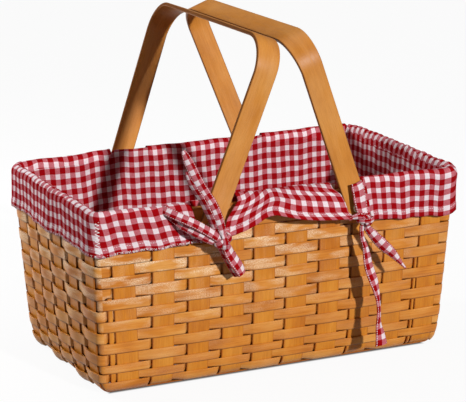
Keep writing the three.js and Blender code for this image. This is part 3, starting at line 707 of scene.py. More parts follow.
def build_handles(material):
    """A rounded strip bent to a square hoop with softened corners, leant in over the basket.

    V is stretched to one GRAIN_STEP round the section, so that the wood darkens on both narrow sides: partly
    a darker edge, partly painted shade.
    """
    y, z, width = (np.concatenate([facing * half, half[-2::-1]])
                   for facing, half in zip((-1, 1, 1), handle_path()))
    turn = np.linspace(0, QUARTER, 5)
    corners = ((-1, -1, 2), (1, -1, 3), (1, 1, 0), (-1, 1, 1))
    turns = [joined(x, y, turn + quarters * QUARTER) for x, y, quarters in corners]
    cx, cy, angle = np.concatenate(turns).T
    ox, oy = np.cos(angle), np.sin(angle)
    radius = np.minimum(HANDLE_EDGE, width / 2 * 0.9)[:, None]
    across = cx * (width[:, None] / 2 - radius) + ox * radius
    section = joined(across, cy * (HANDLE_THICKNESS / 2 - HANDLE_EDGE) + oy * HANDLE_EDGE)
    path = joined(0 * y, y, z)
    local_x, local_y, local_z = np.moveaxis(carry(path, ALONG_X, section), -1, 0)
    along, around = strip_uv(travel(path), section[len(section) // 2], 0)
    for side, sign in SIDES:
        sine, cosine = -sign * math.sin(HANDLE_LEAN), math.cos(HANDLE_LEAN)
        placed = joined(local_x * cosine + local_z * sine + sign * PIVOT_X, local_y,
                        local_z * cosine - local_x * sine + PIVOT_Z)
        grain = 70 + sign
        uv = (along + GRAIN_SHIFT * grain, (around / around[-1] + grain) * GRAIN_STEP)
        piece = surface(f"bent_handle_{side}", placed, uv, (False, True), True)
        finish_piece(piece, material, "bentwood", f"{side}_handle", f"handle_{side}")


def build_rivets(material):
    """Turned rivet: a profile of radius and distance from the middle, spun round the handle's pivot."""
    middle = half_depth(PIVOT_Z) + float(swell(PIVOT_X / SWELL_SPAN, -1, PIVOT_Z))
    clinch = middle - 3.5
    shoulder = middle + 3.2
    leg_face = LEG_MIDDLE_Y - HANDLE_THICKNESS / 2
    dome = np.linspace(0, QUARTER, 7)
    profile = [(0.01, clinch - 1.1), (3.6, clinch - 1.0), (CLINCH_RADIUS, clinch - 0.5),
               (CLINCH_RADIUS, clinch), (SHANK_RADIUS, clinch),
               (SHANK_RADIUS, shoulder), (COLLAR_RADIUS, shoulder),
               (COLLAR_RADIUS, leg_face - 0.6), (SHANK_RADIUS, leg_face - 0.6),
               (SHANK_RADIUS, leg_face + LEG_HOLE_DEPTH), (DOME_RADIUS, leg_face + LEG_HOLE_DEPTH)]
    profile += [(DOME_RADIUS * math.cos(t) + 0.01, leg_face + 4.9 + 1.5 * math.sin(t)) for t in dome]
    radius, out = np.array(profile).T[..., None]
    angle = np.linspace(0, 2 * math.pi, 33)[:-1]
    for wall_name, facing in WALLS:
        for side, sign in SIDES:
            points = joined(sign * PIVOT_X + radius * np.cos(angle), facing * out,
                            PIVOT_Z + radius * np.sin(angle))
            piece = surface(f"rivet_turned_{wall_name}_{side}", points, (out, np.linspace(0, 30, 33)),
                            (False, True), True, sharp=30)
            finish_piece(piece, material, "rivet_metal", "basket", f"rivet_{wall_name}_{side}")


class Value:
    """Output of a shader node. Arithmetic on it makes math nodes."""

    def __init__(self, made, output=0):
        self.socket = made.outputs[output]
        self.tree = made.id_data

    def math(self, operation, *others):
        inputs = dict(enumerate((self, *others)))
        return Value(add_node(self.tree, "ShaderNodeMath", inputs, operation=operation))

    def __add__(self, other):
        return self.math("ADD", other)

    def __sub__(self, other):
        return self.math("SUBTRACT", other)

    def __mul__(self, other):
        return self.math("MULTIPLY", other)


def set_inputs(made, inputs):
    """Sets a node's inputs by name or number: a Value is linked, and a colour gets full alpha."""
    for key, value in inputs.items():
        socket = made.inputs[key]
        if isinstance(value, Value):
            made.id_data.links.new(value.socket, socket)
        elif socket.type == "RGBA":
            socket.default_value = (*value, 1)
        else:
            socket.default_value = value


def add_node(tree, kind, inputs, **settings):
    made = tree.nodes.new(kind)
    for key, value in settings.items():
        setattr(made, key, value)
    set_inputs(made, inputs)
    return made


def ramp(factor, *stops):
    """Colour ramp with stops given as (position, colour), where a single number is a grey."""
    stops = [(place, (*colour, 1) if isinstance(colour, tuple) else (colour, colour, colour, 1))
             for place, colour in stops]
    made = add_node(factor.tree, "ShaderNodeValToRGB", {0: factor})
    elements = made.color_ramp.elements
    for k in (0, -1):
        elements[k].position, elements[k].color = stops[k]
    for place, colour in stops[1:-1]:
        elements.new(place).color = colour
    return Value(made)


def blend(factor, a, b, mode="MIX"):
    inputs = {0: factor, 6: a, 7: b}
    return Value(add_node(a.tree, "ShaderNodeMix", inputs, data_type="RGBA", blend_type=mode), 2)


def noise(source, scale, detail=3.0, roughness=0.55, distortion=0.0):
    """Noise of a different scale along each axis of the source."""
    scaled = Value(add_node(source.tree, "ShaderNodeMapping", {"Vector": source, "Scale": scale}))
    inputs = {"Vector": scaled, "Scale": 1.0, "Detail": detail, "Roughness": roughness,
              "Distortion": distortion}
    return Value(add_node(source.tree, "ShaderNodeTexNoise", inputs), "Fac")


def bump(height, strength, distance):
    inputs = {"Strength": strength, "Distance": distance, "Height": height}
    return Value(add_node(height.tree, "ShaderNodeBump", inputs))


def axes(vector):
    made = add_node(vector.tree, "ShaderNodeSeparateXYZ", {0: vector})
    return [Value(made, k) for k in range(3)]


def new_material(name):
    """New material with its shader, and the UV and object coordinates as Values."""
    material = bpy.data.materials.new(name)
    material.use_nodes = True
    nodes = material.node_tree.nodes
    return (material, nodes["Principled BSDF"], Value(nodes.new("ShaderNodeUVMap")),
            Value(nodes.new("ShaderNodeTexCoord"), "Object"))


def wood(name, dark, middle, pale, gloss, painted_highlight, edge):
    """Varnished wood whose grain runs along U: slow tone, long streaks, fine pores and a fibre bump.

    Cream flecks painted into the colour lie in patches, most of them high up and towards the left: a painted
    highlight of the varnish's gloss. The narrow sides of a strip, where V is near a whole or a half number of
    GRAIN_STEP, are darkened to `edge` of its colour: partly darker cut edges, partly painted shade in the
    joints, in the slits and on the handles' sides.
    """
    material, shader, uv, place = new_material(name)
    tone = noise(uv, (17.0, 31.0, 1.0), 2.0)
    streak = noise(uv, (14.0, 420.0, 1.0), 4.0, 0.6, 0.3)
    fibre = noise(uv, (90.0, 2600.0, 1.0), 3.0, 0.7)
    speck = noise(uv, (700.0, 1100.0, 1.0), 2.0, 0.65)
    colour = ramp(tone * 0.66 + streak * 0.34, (0.37, dark), (0.5, middle), (0.65, pale))
    rosy = ramp(noise(uv, (11.0, 22.0, 3.0), 1.0), (0.5, 0.0), (0.7, 0.45))
    colour = blend(rosy, colour, (0.90 * middle[0], 1.02 * middle[1], 2.2 * middle[2]))
    shade = ramp(fibre, (0.3, (0.80, 0.74, 0.66)), (0.62, 1.05))
    colour = blend(0.8, colour, shade, "MULTIPLY")
    # Painted highlight: cream flecks, high up and towards the left, stand in for the varnish's gloss.
    x, _, z = axes(place)
    high = ramp(z * 5.0, (0.30, 0.10), (0.72, 1.0))
    highlight_leftward = ramp(x * -2.5 + 0.5, (0.0, 0.12), (0.62, 1.0))
    highlight_patch = ramp(noise(uv, (26.0, 90.0, 5.0), 2.0, 0.5), (0.43, 0.0), (0.57, 1.0))
    highlight_grains = ramp(speck, (0.35, 0.0), (0.60, painted_highlight))
    colour = blend(high * highlight_leftward * (highlight_patch * highlight_grains), colour, (0.93, 0.74, 0.50))
    # Partly painted shade: the strips' narrow sides darken like shadowed joints, slits and handle sides,
    # partly a darker cut edge.
    round_section = (axes(uv)[1] * (1 / (GRAIN_STEP * MM))).math("FRACT")
    plain, dark_edge = 1.0, (edge, 0.8 * edge, 0.6 * edge)
    stain_and_shade = ramp(round_section, (0.0, dark_edge), (0.010, dark_edge), (0.032, plain), (0.445, plain),
                 (0.465, dark_edge), (0.510, dark_edge), (0.532, plain), (0.945, plain), (0.965, dark_edge),
                 (1.0, dark_edge))
    set_inputs(shader, {
        "Base Color": blend(1.0, colour, stain_and_shade, "MULTIPLY"),
        "Roughness": ramp(streak, (0.3, gloss - 0.06), (0.7, gloss + 0.12)),
        "Normal": bump(fibre * 0.6 + speck * 0.5, 0.35, 0.0004),
        "Specular IOR Level": 0.28,
    })
    return material


def gingham(name, stitch_lines, overlock=0.0, tone=1.0):
    """Woven checks on the cloth's UV: two square waves added, so crossings are red, single stripes pink.

    Fine threads modulate colour and bump. Stitches are short pale dashes along lines of constant V, and an
    overlocked edge carries pale flecks up to V = overlock.
    """
    material, shader, uv, _ = new_material(name)
    tree = uv.tree
    wobble = add_node(tree, "ShaderNodeTexNoise", {"Vector": uv, "Scale": 32.0, "Detail": 2.0})
    inputs = {0: Value(wobble, "Color"), 1: (WOBBLE, WOBBLE, 0.0), 2: uv}
    shifted = Value(add_node(tree, "ShaderNodeVectorMath", inputs, operation="MULTIPLY_ADD"))
    squares = []
    threads = []
    for axis in axes(shifted)[:2]:
        sine = (axis * (2 * math.pi / (2 * CHECK * MM))).math("SINE")
        squares.append(Value(add_node(tree, "ShaderNodeClamp", {0: sine * 7.0 + 1.38})))
        threads.append((axis * (2 * math.pi / THREAD_PITCH)).math("SINE"))
    lengthways = noise(uv, (260.0, 1500.0, 1.0), 3.0, 0.75)
    crossways = noise(uv, (1500.0, 260.0, 2.0), 3.0, 0.75)
    count = (squares[0] + squares[1]) * 0.5 + (lengthways + crossways - 1.0) * 0.45
    dyes = ((0.0, (0.92, 0.79, 0.82)), (0.5, (0.575, 0.138, 0.166)), (0.92, (0.36, 0.002, 0.005)))
    # A tone below 1 darkens every dye: a shaded copy of the cloth, painted shade.
    colour = ramp(count, *((place, tuple(tone * part for part in dye)) for place, dye in dyes))
    weave = threads[0] * threads[1]
    colour = blend(1.0, colour, ramp(weave * 0.5 + 0.5, (0.0, (0.86, 0.85, 0.86)), (1.0, 1.06)), "MULTIPLY")
    colour = blend(0.8, colour, ramp(crossways, (0.3, 0.84), (0.7, 1.08)), "MULTIPLY")
    height = weave * 0.22
    u, v, _ = axes(uv)
    dash = (u * (1 / STITCH_PITCH)).math("FRACT").math("LESS_THAN", 0.62)
    seams = None
    for line in stitch_lines:
        near = v.math("COMPARE", line, STITCH_HALF_WIDTH)
        seams = near if seams is None else seams.math("MAXIMUM", near)
    if seams is not None:
        stitch = dash * seams
        colour = blend(stitch * 0.8, colour, (0.82, 0.74, 0.76))
        height = height + (stitch * 1.2 - seams * 0.9)
    if overlock:
        tufts = noise(uv, (700.0, 420.0, 1.0), 2.0).math("GREATER_THAN", 0.52)
        edge = tufts * v.math("LESS_THAN", overlock)
        colour = blend(edge * 0.8, colour, (0.85, 0.80, 0.80))
        height = height + edge
    height = height + noise(uv, (55.0, 55.0, 1.0), 3.0, 0.6) * 3.0
    set_inputs(shader, {"Base Color": colour, "Normal": bump(height, 0.55, 0.0008), "Roughness": 0.9,
                        "Specular IOR Level": 0.05})
    return material


def cotton_thread():
    material, shader, uv, _ = new_material("cotton_thread")
    fibre = noise(uv, (2500.0, 600.0, 1.0), 2.0)
    colour = ramp(fibre, (0.3, (0.84, 0.80, 0.80)), (0.7, (0.95, 0.93, 0.93)))
    set_inputs(shader, {"Base Color": colour, "Roughness": 0.9})
    return material


def dull_brass():
    material, shader, _, place = new_material("dull_brass")
    wear = noise(place, (600.0, 600.0, 600.0), 4.0)
    colour = ramp(wear, (0.3, (0.34, 0.26, 0.15)), (0.7, (0.62, 0.52, 0.34)))
    roughness = ramp(wear, (0.3, 0.28), (0.7, 0.5))
    set_inputs(shader, {"Base Color": colour, "Roughness": roughness, "Metallic": 1.0})
    return material


def finish_cloth(piece, material, flat, held, rests_on, *nodes):
    thicken(piece, CLOTH_THICKNESS, -1)
    finish_piece(piece, material, "gingham", "basket", *nodes)


def cuff_section():
    """Offsets and heights of a cuff's section: up inside, half an ellipse over the rim, down to the hem."""
    crown_foot = RIM_TOP + CROWN_LIFT
    inside_z = np.linspace(RIM_TOP - CUFF_INSIDE, crown_foot, 4)[:-1]
    turn = np.linspace(math.pi, 0, 13)
    down = np.linspace(RIM_TOP, CROWN_Z - CUFF_DEPTH, 22)[1:]
    out = np.concatenate([np.full(3, CUFF_MIDDLE - CROWN_HALF), CUFF_MIDDLE + CROWN_HALF * np.cos(turn),
                          CUFF_MIDDLE + CROWN_HALF + HEM_OUT * (RIM_TOP - down) / CUFF_STRAIGHT])
    return out, np.concatenate([inside_z, crown_foot + CROWN_HALF * np.sin(turn), down])


def cuff_length(crown):
    """Length of a cuff from its inside edge over the crown to the hem: half an ellipse and two straights."""
    a, b = CROWN_HALF, crown - RIM_TOP
    half_ellipse = QUARTER * (3 * (a + b) - np.sqrt((3 * a + b) * (a + 3 * b)))
    return half_ellipse + RIM_TOP - CROWN_Z + CUFF_DEPTH + CUFF_INSIDE


def over_rim(nominal, crown):
    """Heights of the cuff's section with the part above the rim stretched to the crown's height."""
    share = (crown - RIM_TOP) / (CROWN_Z - RIM_TOP)
    return np.where(nominal > RIM_TOP, RIM_TOP + (nominal - RIM_TOP) * share, nominal)


def cloth_way(kx, ky, nx, ny):
    """Length round the cloth, the same on the bag and on the end and back cuffs so that their checks meet."""
    return ring_way(kx, ky, nx, ny, RIM_TOP, CLOTH_CORNER)


def build_end_cuff(side, material):
    """Cuff over one end wall and round its two corners, to the slits beside the handles.

    The columns run from the front slit round the end to the back slit; soft folds deepen towards the hem and
    slanting ones cross the crown of the end wall. The left cuff's checks drag forwards along its hem.
    """
    sign = dict(SIDES)[side]
    out, nominal = cuff_section()
    fall = np.clip((CROWN_Z - nominal) / CUFF_DEPTH, 0, 1)
    share = np.linspace(0, 1, 70)[:, None]
    bend = np.linspace(0, QUARTER, 9)[1:-1, None]
    runs = []
    for facing, (top, hem, power) in zip((-1, 1), SLITS[side]):
        far = run_x(sign, facing, nominal, RIM_CORNER - 3 * fall)
        slit = top + (hem - top) * fall**power
        runs.append(sign * (slit + (far - slit) * share) / far)
    parts = ((runs[0], -1, 0, -1), (sign, -1, sign * np.sin(bend), -np.cos(bend)),
             (sign, np.linspace(-1, 1, 120)[:, None], sign, 0), (sign, 1, sign * np.cos(bend), np.sin(bend)),
             (runs[1][::-1], 1, 0, 1))
    samples = np.moveaxis(np.concatenate([joined(*part, fall) for part in parts]), -1, 0)[:4]
    nx, ny = samples[2:]
    turn = ring_turn(*samples)
    radius = rounded(turn) - 3 * fall * (rounded(turn) - SHARP_CORNER) / (RIM_CORNER - SHARP_CORNER)
    along = travel(wall(*samples, nominal, out)[:, len(nominal) // 2])
    w = along[:, None]
    to_slit = np.minimum(w, along[-1] - w)
    outside = np.clip((out - out[0]) / (2 * CROWN_HALF), 0, 1)
    folds = waves(w, (1.4, 17, 0.7), (0.8, 9.3, 2 + fall * 1.4)) * fall**1.5
    folds = folds + waves(w, (0.5, 5.1, 1)) * fall**3
    folds = folds * (0.35 + 0.65 * smooth(np.clip(to_slit / 40, 0, 1)))
    over = np.clip((nominal - RIM_TOP) / (CROWN_Z - RIM_TOP), 0, 1)
    rope = waves(w, (0.6, 2.05, 2.6 * outside)) * over * smooth(np.clip(np.abs(nx), 0, 1))
    puff = 4.0 * np.exp(-(((turn - 1) / 0.07) ** 2)) * (1 - fall) ** 1.3 * outside
    hem_layer = 0.55 * smooth(np.clip((fall - 1 + (HEM + 0.8) / CUFF_DEPTH) * CUFF_DEPTH / 0.8, 0, 1))
    flare = (1.4 if side == "left" else 0.4) * np.exp(-w / 16) * fall
    lift = waves(w, (1.1, 23, 1), (0.7, 8.7, 0), (0.5, 3.9, 0)) * fall**2
    hem_drop = np.interp(turn, *np.array(HEM_DROP).T) * fall
    height = over_rim(nominal, crown_height(turn)) + lift - hem_drop + rope
    offset = out + np.maximum(folds, -0.5) + fall + hem_layer + puff + flare + 0.8 * rope * outside
    points = wall(*samples, height, np.minimum(offset, CUFF_LIMIT), radius)
    way = cloth_way(*samples)
    if side == "left":
        total = ring_walls(RIM_TOP, CLOTH_CORNER)[2]
        way = np.where(ny < -0.999, way + total, way) - 12.0 * np.clip(1.15 - w / 260, 0, 1) * fall**1.1
    else:
        way = way - 5.0 * np.exp(-w / 30) * fall
    down = travel(points)
    piece = surface(f"cuff_cloth_{side}", points, (way, down[:, -1:] - down), flip=side == "left", sharp=80)
    if side == "left":
        stitch_corner(points[len(share):len(share) + len(bend), 16:])
    flat_size = (float(along[-1]) * MM, float(down[:, -1].mean()) * MM)
    finish_cloth(piece, material, flat_size, "folded", ["rim_outer"], f"cuff_{side}")


def stitch_corner(corner):
    """Thick thread zigzagging down the cuff's front corner, to and fro across the columns of its grid."""
    row = np.arange(corner.shape[1] - 1)
    column = np.where(row % 2 == 0, 0.3, 2.2)
    base = column.astype(int)
    path = corner[base, row] + (corner[base + 1, row] - corner[base, row]) * (column - base)[:, None]
    outward = np.array([-1.0, -1.0, 0]) / math.sqrt(2)
    theta = np.linspace(0, 2 * math.pi, 9)[:-1]
    section = THREAD_RADIUS * joined(np.cos(theta), np.sin(theta))
    piece = sweep("seam_zigzag", path + THREAD_LIFT * outward, np.array([0.5, -0.5, 0.7]), section, 90)
    finish_piece(piece, cotton_thread(), "gingham", "basket")


def softened(values):
    """Values along a line, each averaged with its twelve neighbours under a bell."""
    bell = np.hanning(13)
    return np.convolve(np.pad(values, 6, mode="edge"), bell / bell.sum(), mode="valid")


def build_centre_cuff(wall_name, material):
    """Panel between the handles, like an awning: its hem rises in the middle and stands away from the wall.

    Folds spread from the two knots as sines of the direction from each, dying away with distance. At the
    front V counts up from the hem, so stitches follow it; at the back the checks line up with the bag's.
    """
    facing = dict(WALLS)[wall_name]
    shape = PANELS[wall_name]
    lean = shape["lean"]
    out, nominal = cuff_section()
    fall = np.where(out > 0, np.clip((RIM_TOP - nominal) / (RIM_TOP - CROWN_Z + CUFF_DEPTH), 0, 1), 0)
    share = np.linspace(0, 1, 130)[:, None]
    left, right = (np.interp(fall, *shape[key]) for key in ("left", "right"))
    x = left + (right - left) * share
    hem_x, hem_z, hem_y = np.array(shape["hem"], float).T
    drop, reach = (softened(np.interp(x[:, -1], hem_x, values))[:, None] for values in (hem_z, hem_y))
    aside = x[:, :1] / RIM_HALF_LENGTH / 2
    turn = 0.5 + aside if facing < 0 else 2.5 - aside
    outer = np.clip(1 - np.arccos(np.clip((out - CUFF_MIDDLE) / CROWN_HALF, -1, 1)) / QUARTER, 0, 1) ** 2
    top_z = RIM_TOP + lean
    start_y = half_depth(RIM_TOP) + CUFF_MIDDLE + CROWN_HALF + lean
    above = over_rim(nominal, crown_height(turn)) + lean * outer
    z = np.where(fall > 0, top_z + (drop - top_z) * fall, above)
    billow = 2.0 * np.sin(math.pi * fall) * np.sin(math.pi * share) ** 0.5
    y = np.where(fall > 0, start_y + (reach - start_y) * fall**0.9 + billow,
                 half_depth(nominal) + out + lean * outer)
    for knot_x, knot_z, size, count, spread in shape["knots"]:
        away = np.hypot(x - knot_x, z - knot_z)
        direction = np.arctan2(z - knot_z, np.abs(x - knot_x))
        fade = np.exp(-away / spread) * np.clip(away / 12, 0, 1) * fall**0.7
        y = y + size * np.sin(count * direction + 0.6) * fade
    up = (1 - fall) * np.hypot(reach - start_y, top_z - drop)
    hem_layer = 0.5 * smooth(np.clip(HEM + 1 - up, 0, 1)) - 0.8 * np.exp(-(((up - HEM - 1.2) / 1.3) ** 2))
    y = y + waves(x, (0.7, 8.7, 1)) * fall**2 + hem_layer * (fall > 0)
    points = joined(x, facing * y, z)
    down = travel(points)
    if facing < 0:
        uv = (share * PANEL_WIDTH, down[:, -1:] - down)
    else:
        kx = x / run_x(x, 1, RIM_TOP, RIM_CORNER)
        one = np.ones_like(kx)
        uv = (cloth_way(kx, one, 0 * one, one), cuff_length(crown_height(turn)) - down)
    piece = surface(f"cuff_cloth_{wall_name}", points, uv, flip=facing > 0, sharp=80)
    flat_size = (PANEL_WIDTH * MM, float(down[:, -1].mean()) * MM)
    finish_cloth(piece, material, flat_size, "folded", ["rim_outer"], f"cuff_{wall_name}")


def soft_step(x, start, end):
    """1 between start and end, eased to 0 over 6 mm on both sides."""
    return smooth(np.clip((x - start + 5) / 6, 0, 1)) * smooth(np.clip((end + 5 - x) / 6, 0, 1))


def build_bag(material):
    """Cloth bag inside: walls that hang from the rim with shallow upright folds, and a sewn-in floor.

    Its edge stands up to the crown where the cuffs are slit for the handles.
    """
    samples = outline((150, 90), 9)[..., None]
    kx, ky, _, ny = samples
    turn = ring_turn(*samples)
    radius = rounded(turn)
    crown = crown_height(turn)
    x = kx * run_x(kx, ky, RIM_TOP, radius)
    z = np.concatenate([np.linspace(BAG_TOP, 30, 44), [22, 16, 11, 7.5, 5.6]])
    inset = np.concatenate([np.zeros(44), [0.5, 1.2, 3.0, 6.0, 9.0]])
    front, back = (sum(soft_step(x, *stretch) for stretch in OPEN_EDGE[name]) for name, _ in WALLS)
    rise = np.where(ny < -0.999, front * FRONT_RISE, 0) + np.where(ny > 0.999, back * (crown - BAG_TOP), 0)
    way = cloth_way(*samples)
    total = float(ring_walls(RIM_TOP, CLOTH_CORNER)[2])
    depth = np.clip((BAG_TOP - z) / 60, 0, 1)
    folds = waves(way, (1.0, 19, 0), (0.8, 8.3, 1.3), (0.5, 31, z / 22)) * depth
    offset = BAG_OUT - np.maximum(folds + 0.8 * depth, 0) - inset
    level = np.maximum(z, BAG_BEND_Z)
    points = wall(*samples, level, offset, radius, 0.0)
    points[..., 2] += z - level + rise * np.clip((z - RISE_FROM) / (BAG_TOP - RISE_FROM), 0, 1) ** 2
    v = travel(points) + cuff_length(crown) - BAG_LAP - rise
    uv = (np.concatenate([way, way[:1] + total]), np.concatenate([v, v[:1]]))
    piece = surface("bag_walls", points, uv, (True, False), flip=True, sharp=80)
    height = float(travel(points)[:, -1].mean())
    finish_cloth(piece, material, (total * MM, height * MM), "hung", ["rim_inner"], "liner_bag")
    edge = points[:, -1]
    low_x, high_x, half_y = edge[:, 0].min() - 1, edge[:, 0].max() + 1, edge[:, 1].max() + 1
    x, y = np.linspace(low_x, high_x, 60)[:, None], np.linspace(-half_y, half_y, 36)
    ripple = 0.5 + waves(x, (0.4, 21, y / 34)) + waves(y, (0.3, 13, -x / 40))
    floor = joined(x, y, BAG_FLOOR_Z + np.maximum(ripple, 0))
    piece = surface("bag_floor", floor, (x, y), flip=True, sharp=80)
    finish_cloth(piece, material, ((high_x - low_x) * MM, 2 * half_y * MM), "laid", ["bag_walls"])


def ribbon(name, rows, shift):
    """Doubled ribbon along a curve: a flat rounded section, cupped and creased, that turns by the twist."""
    found = through(rows, 70)[:, None]
    path = found[..., :3]
    width, puff, twist = (found[..., k:k + 1] for k in (3, 4, 5))
    along = travel(path[:, 0])[:, None]
    tangent = unit(np.gradient(path, axis=0))
    across = unit(np.cross(tangent, [0.0, math.copysign(1, path[..., 1].mean()), 0.0]))
    normal = np.cross(across, tangent)
    angle = np.radians(twist)
    turned = across * np.cos(angle) + normal * np.sin(angle)
    lifted = normal * np.cos(angle) - across * np.sin(angle)
    theta = np.linspace(0, 2 * math.pi, 21)[:-1, None]
    flat_cos = np.sign(np.cos(theta)) * np.abs(np.cos(theta)) ** 0.75
    flat_sin = np.sign(np.sin(theta)) * np.abs(np.sin(theta)) ** 0.9
    lift = puff / 2 * flat_sin - 0.12 * width * flat_cos**2 + waves(along, (0.35, 5.2, 1))[..., None]
    points = path + width / 2 * flat_cos * turned + lift * lifted
    side = np.where(flat_sin >= 0, (1 - flat_cos) / 2, (3 + flat_cos) / 2)
    uv = (along + shift, np.append(side, 2.0) * RIBBON_CLOTH)
    piece = surface(name, points, uv, (False, True), True, sharp=70)
    return piece, float(along[-1, 0]), float(width.mean())


def knot(name, centre, size, lean):
    """Knot: a cloth band wrapped twice, crossing, round the gathered ribbons, over a lumpy core."""
    theta = np.linspace(0, 2 * math.pi, 33)[:-1]
    around = np.linspace(0, 52, 33)
    phi = np.linspace(0.02, math.pi - 0.02, 15)[:, None]
    lump = 0.86 * (1 + 0.08 * np.sin(3 * theta + 1) * np.sin(2 * phi) + 0.06 * np.cos(5 * theta))
    core = lump[..., None] * joined(np.cos(theta) * np.sin(phi), np.sin(theta) * np.sin(phi), np.cos(phi))
    pieces = [surface(f"{name}_core", core * size + centre, (around, np.linspace(0, 30, 15)[:, None]),
                      (False, True), True, sharp=80)]
    theta = theta[:, None]
    w = np.linspace(-1, 1, 9)
    for k, (tilt, reach, span) in enumerate(((lean, 1.0, 0.42), (lean + 62, 1.1, 0.30)), 1):
        radius = reach * (1 - 0.12 * w**2) + 0.03 * np.sin(6 * theta)
        level = w * span * (1 + 0.15 * np.sin(2 * theta))
        sine, cosine = math.sin(math.radians(tilt)), math.cos(math.radians(tilt))
        band = joined(np.cos(theta) * radius * cosine - level * sine, np.sin(theta) * radius,
                      np.cos(theta) * radius * sine + level * cosine)
        uv = (around[:, None] + 5 * k, np.linspace(0, 9, 9))
        piece = surface(f"{name}_wrap_{k}", band * size + centre, uv, (True, False), flip=centre[1] < 0,
                        sharp=80)
        thicken(piece, WRAP_THICKNESS, 0)
        pieces.append(piece)
    return pieces


def build_strap():
    """Wide strap that crosses in front of the right leg's foot, ruled between its sewn edge and its free one.

    It leaves the cuff outwards, so its depth follows a power of the distance from the sewn edge.
    """
    free, sewn = through(STRAP_FREE_EDGE, 44), through(STRAP_SEWN_EDGE, 44)
    down = np.linspace(0, 1, 44)[:, None]
    s = np.linspace(0, 1, 20)
    bow = 1 - (1 - s) ** 2.6
    x, y, z = (start[:, None] + (end - start)[:, None] * part
               for start, end, part in zip(sewn.T, free.T, (s, bow, s)))
    y = y - waves(s, (0.7, 1 / 11, 0.5), (0.5, 1 / 23, 0)) * down**0.8
    along = travel(free)[:, None]
    uv = (along + 3, STRAP_CLOTH * (1 - s))
    piece = surface("ribbon_front_right_strap", joined(x, y, z), uv, flip=True, sharp=80)
    thicken(piece, STRAP_THICKNESS, -1)
    return piece, float(along[-1, 0]), STRAP_WIDTH


def build_ties(material):
    """Ribbons and knots. The pieces of the ties at the right get meshes of their own."""
    for place, tie in TIES.items():
        pieces = knot(f"knot_{place}", *tie["knot"])
        core = pieces[0]
        finish_piece(core, material, "gingham", "basket", f"tie_{place}")
        for piece in pieces[1:]:
            finish_piece(piece, material, "gingham", "basket")
        sheets = [ribbon(f"ribbon_{place}_{part}", rows, 3.0 * k)
                  for k, (part, rows) in enumerate(tie["ribbons"].items())]
        if place == "front_right":
            sheets.append(build_strap())
        for piece, length, width in sheets:
            finish_piece(piece, material, "gingham", "basket")
            max(width, 10.0) * MM
            length * MM
            pieces.append(piece)
        if place.endswith("right"):
            for piece in pieces:
                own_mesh(piece)


def aim_camera():
    """Camera solved on the basket's own edges: where it stands, where it points and its slight roll."""
    azimuth, elevation, roll = np.radians([-24.23, 14.27, -0.73])
    eye = np.array([-862.42, -1917.95, 691.48])
    level = math.cos(elevation)
    back = np.array([math.sin(azimuth) * level, -math.cos(azimuth) * level, math.sin(elevation)])
    right = np.array([math.cos(azimuth), math.sin(azimuth), 0.0])
    up = np.cross(back, right)
    data = bpy.data.cameras.new("camera")
    data.sensor_width = 36.0
    data.lens = 36.0 * FOCAL_PIXELS / PHOTO_WIDTH
    data.clip_start = 0.05
    matrix = np.eye(4)
    matrix[:3, 0] = right * math.cos(roll) + up * math.sin(roll)
    matrix[:3, 1] = up * math.cos(roll) - right * math.sin(roll)
    matrix[:3, 2] = back
    matrix[:3, 3] = eye * MM
    camera = add_object("camera", data)
    camera.matrix_world = Matrix(matrix.tolist())
    bpy.context.scene.camera = camera


def rays(tree, *names):
    """1 for rays of the named kinds."""
    path = tree.nodes.new("ShaderNodeLightPath")
    first, *others = (Value(path, f"Is {name} Ray") for name in names)
    for other in others:
        first = first.math("MAXIMUM", other)
    return first


def light_scene():
    """A hard key from the upper right front, a card on the left, one overhead, and a dim even fill.

    The left card stands behind the basket and shows in no gloss. The camera sees the fill as white.
    """
    lamps = (
        ("key", "SUN", 3.25, {"angle": math.radians(3.0)}, (90 - 21, 0, 11.5), (0, 0, 0)),
        ("left_card", "AREA", 10.8, {"shape": "SQUARE", "size": 0.25}, (71.5, 0, -140), (-0.72, 0.85, 0.5)),
        ("top_card", "AREA", 8.0, {"shape": "SQUARE", "size": 1.4}, (0, 0, 0), (0, 0, 1.7)),
    )
    for name, kind, energy, settings, turn, location in lamps:
        lamp = bpy.data.lights.new(name, kind)
        lamp.energy = energy
        for key, value in settings.items():
            setattr(lamp, key, value)
        placed = add_object(name, lamp)
        placed.rotation_euler = tuple(math.radians(angle) for angle in turn)
        placed.location = location
        placed.visible_glossy = name != "left_card"
    world = bpy.data.worlds.new("studio")
    world.use_nodes = True
    tree = world.node_tree
    fill = tree.nodes["Background"]
    set_inputs(fill, {"Color": WHITE, "Strength": 0.055})
    seen = add_node(tree, "ShaderNodeBackground", {"Color": WHITE, "Strength": 1.0})
    direct = rays(tree, "Camera", "Transmission").math("MAXIMUM", rays(tree, "Glossy") * 0.1)
    mix = add_node(tree, "ShaderNodeMixShader", {0: direct, 1: Value(fill), 2: Value(seen)})
    set_inputs(tree.nodes["World Output"], {0: Value(mix)})
    bpy.context.scene.world = world


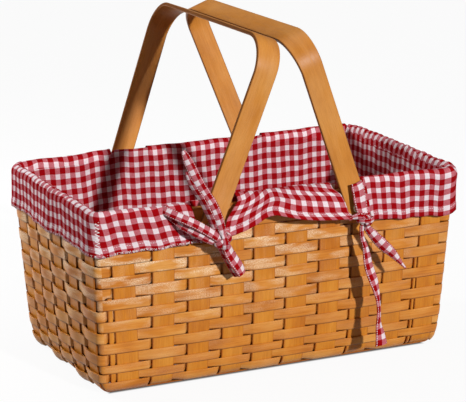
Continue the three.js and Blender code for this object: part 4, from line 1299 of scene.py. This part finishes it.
def lay_floor():
    """Pale floor: white where it is seen away from the basket's foot, with a faint shadow of the basket."""
    reach = 6.0
    level = -0.0003
    mesh = bpy.data.meshes.new("floor")
    corners = [(x * reach, y * reach, level) for x, y in ((-1, -1), (1, -1), (1, 1), (-1, 1))]
    mesh.from_pydata(corners, [], [(0, 1, 2, 3)])
    floor = add_object("floor", mesh)
    material, shader, _, place = new_material("pale_floor")
    tree = place.tree
    set_inputs(shader, {"Base Color": (0.3, 0.3, 0.3), "Roughness": 1.0, "Specular IOR Level": 0.0})
    glow = add_node(tree, "ShaderNodeEmission", {"Color": WHITE, "Strength": 1.16})
    x, y, _ = axes(place)
    beyond_x, beyond_y = (value.math("ABSOLUTE") - (half - FLOOR_MARGIN) * MM
                          for value, half in ((x, FOOT_HALF_LENGTH), (y, FOOT_HALF_DEPTH)))
    clear = ramp(beyond_x.math("MAXIMUM", beyond_y) * 100.0, (0.0, 0.0), (0.35, 1.0))
    seen = rays(tree, "Camera", "Transmission", "Glossy") * clear * 0.8
    mix = add_node(tree, "ShaderNodeMixShader", {0: seen, 1: Value(shader), 2: Value(glow)})
    set_inputs(tree.nodes["Material Output"], {0: Value(mix)})
    mesh.materials.append(material)


aim_camera()
light_scene()
lay_floor()
bpy.context.scene.view_settings.view_transform = "Standard"

# The flecks are a painted highlight of the gloss; the darkened narrow sides are partly painted shade.
weaver_wood = wood("weaver_wood", (0.47, 0.14, 0.012), (0.62, 0.22, 0.026), (0.72, 0.33, 0.075),
                   gloss=0.42, painted_highlight=0.9, edge=0.4)
upright_wood = wood("upright_wood", (0.48, 0.145, 0.010), (0.58, 0.20, 0.014), (0.66, 0.265, 0.030),
                    gloss=0.45, painted_highlight=0.12, edge=0.6)
handle_wood = wood("handle_wood", (0.50, 0.18, 0.022), (0.58, 0.225, 0.034), (0.64, 0.275, 0.055),
                   gloss=0.4, painted_highlight=0.05, edge=0.35)
cuff_gingham = gingham("cuff_gingham", (HEM * MM,))
left_gingham = gingham("left_cuff_gingham", (HEM * MM,), overlock=OVERLOCK)
plain_gingham = gingham("plain_gingham", ())
# The bag's cloth is the cuffs' gingham darkened to 0.84: painted shade inside the basket.
shaded_bag_gingham = gingham("shaded_bag_gingham", (), tone=0.84)
tie_gingham = gingham("tie_gingham", RIBBON_SEAMS)

build_uprights(upright_wood)
build_weavers(weaver_wood)
build_rim(upright_wood)
build_handles(handle_wood)
build_rivets(dull_brass())
build_bag(shaded_bag_gingham)
build_end_cuff("left", left_gingham)
build_end_cuff("right", cuff_gingham)
build_centre_cuff("front", cuff_gingham)
build_centre_cuff("back", plain_gingham)
build_ties(tie_gingham)
